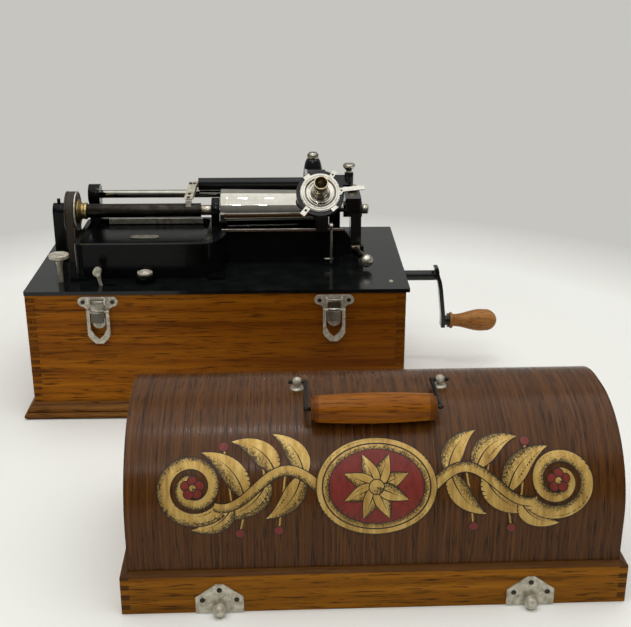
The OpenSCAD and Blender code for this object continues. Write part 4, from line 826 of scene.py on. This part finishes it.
def pale_floor():
    """Pale floor, lit round the object and an even pale grey for the camera further off."""
    floor = Finish("pale_floor", roughness=0.6, specular_ior_level=0.2)
    spread = floor.add("ShaderNodeVectorMath", {0: floor.place(), 1: FLOOR_MIDDLE},
                       operation="DISTANCE").outputs["Value"]
    cloud = floor.noise(floor.place((3, 3, 3)), 1.0, 2.0)
    tone = floor.blend(floor.range(cloud, 0.3, 0.7, 0.0, 0.08), FLOOR_NEAR, FLOOR_FAR)
    floor.set(base_color=tone)
    far = floor.range(spread, *FLOOR_FADE, 0.0, 1.0)
    seen = floor.add("ShaderNodeLightPath").outputs["Is Camera Ray"]
    share = floor.calc("MULTIPLY", far, seen)
    even = floor.add("ShaderNodeEmission", {"Color": (*FLOOR_FAR, 1), "Strength": 1.0}).outputs[0]
    mix = floor.add("ShaderNodeMixShader", {0: share, 1: floor.shader.outputs[0], 2: even}).outputs[0]
    floor.tree.links.new(mix, floor.tree.nodes["Material Output"].inputs["Surface"])
    return floor.material


def add_floor():
    bpy.ops.mesh.primitive_circle_add(vertices=96, radius=FLOOR_RADIUS, fill_type="NGON")
    floor = bpy.context.object
    floor.name = "floor"
    floor.data.materials.append(pale_floor())


def area_light(name, place, target, size, power):
    data = bpy.data.lights.new(name, "AREA")
    data.shape = "RECTANGLE"
    data.size = size[0]
    data.size_y = size[1]
    data.energy = power
    light = bpy.data.objects.new(name, data)
    light.location = place
    light.rotation_euler = (Vector(target) - Vector(place)).to_track_quat("-Z", "Y").to_euler()
    bpy.context.collection.objects.link(light)


def bright_room():
    """Even pale room: light from above and from the backdrop, less from the camera's side."""
    world = bpy.data.worlds.new("studio")
    world.use_nodes = True
    add, link = world.node_tree.nodes.new, world.node_tree.links.new
    way = add("ShaderNodeSeparateXYZ")
    link(add("ShaderNodeTexCoord").outputs["Generated"], way.inputs[0])
    total = ROOM_LOW
    for axis, start, end, strength in (("Z", -0.05, 0.75, ROOM_ABOVE), ("Y", -0.1, 0.9, ROOM_BEHIND)):
        step = add("ShaderNodeMapRange")
        link(way.outputs[axis], step.inputs["Value"])
        for name, value in (("From Min", start), ("From Max", end), ("To Max", strength)):
            step.inputs[name].default_value = value
        both = add("ShaderNodeMath")
        link(step.outputs[0], both.inputs[0])
        if isinstance(total, float):
            both.inputs[1].default_value = total
        else:
            link(total, both.inputs[1])
        total = both.outputs[0]
    background = world.node_tree.nodes["Background"]
    background.inputs["Color"].default_value = (*ROOM_TONE, 1)
    link(total, background.inputs["Strength"])
    seen = add("ShaderNodeBackground")
    seen.inputs["Color"].default_value = (*FLOOR_FAR, 1)
    mix = add("ShaderNodeMixShader")
    link(add("ShaderNodeLightPath").outputs["Is Camera Ray"], mix.inputs[0])
    link(background.outputs[0], mix.inputs[1])
    link(seen.outputs[0], mix.inputs[2])
    link(mix.outputs[0], world.node_tree.nodes["World Output"].inputs["Surface"])
    bpy.context.scene.world = world


def add_lights():
    """Two rows of small lamps, which show on the bright metal, and a wide soft light overhead."""
    for i in (-1, 0, 1):
        area_light(f"ceiling_{i}", (CEILING_STEP * i, -0.3, 2.4), LIT, (0.024, 0.024), 1.3)
        area_light(f"front_{i}", (FRONT_STEP * i + FRONT_SHIFT, -2.5, 2.4), LIT_FRONT, (0.03, 0.03), 1.6)
    area_light("overhead", (0.2, -0.5, 2.8), LIT, (5.0, 4.0), 78)
    bright_room()


def add_camera():
    data = bpy.data.cameras.new("camera")
    data.sensor_fit = "HORIZONTAL"
    data.sensor_width = SENSOR_WIDTH
    data.lens = FOCAL_PIXELS * SENSOR_WIDTH / PHOTO_WIDTH
    camera = bpy.data.objects.new("camera", data)
    camera.location = CAMERA_PLACE
    camera.rotation_euler = (math.radians(90 - CAMERA_PITCH), 0, math.radians(-CAMERA_YAW))
    bpy.context.collection.objects.link(camera)
    bpy.context.scene.camera = camera


add_floor()
add_lights()
add_camera()
bpy.context.scene.view_settings.view_transform = "Standard"
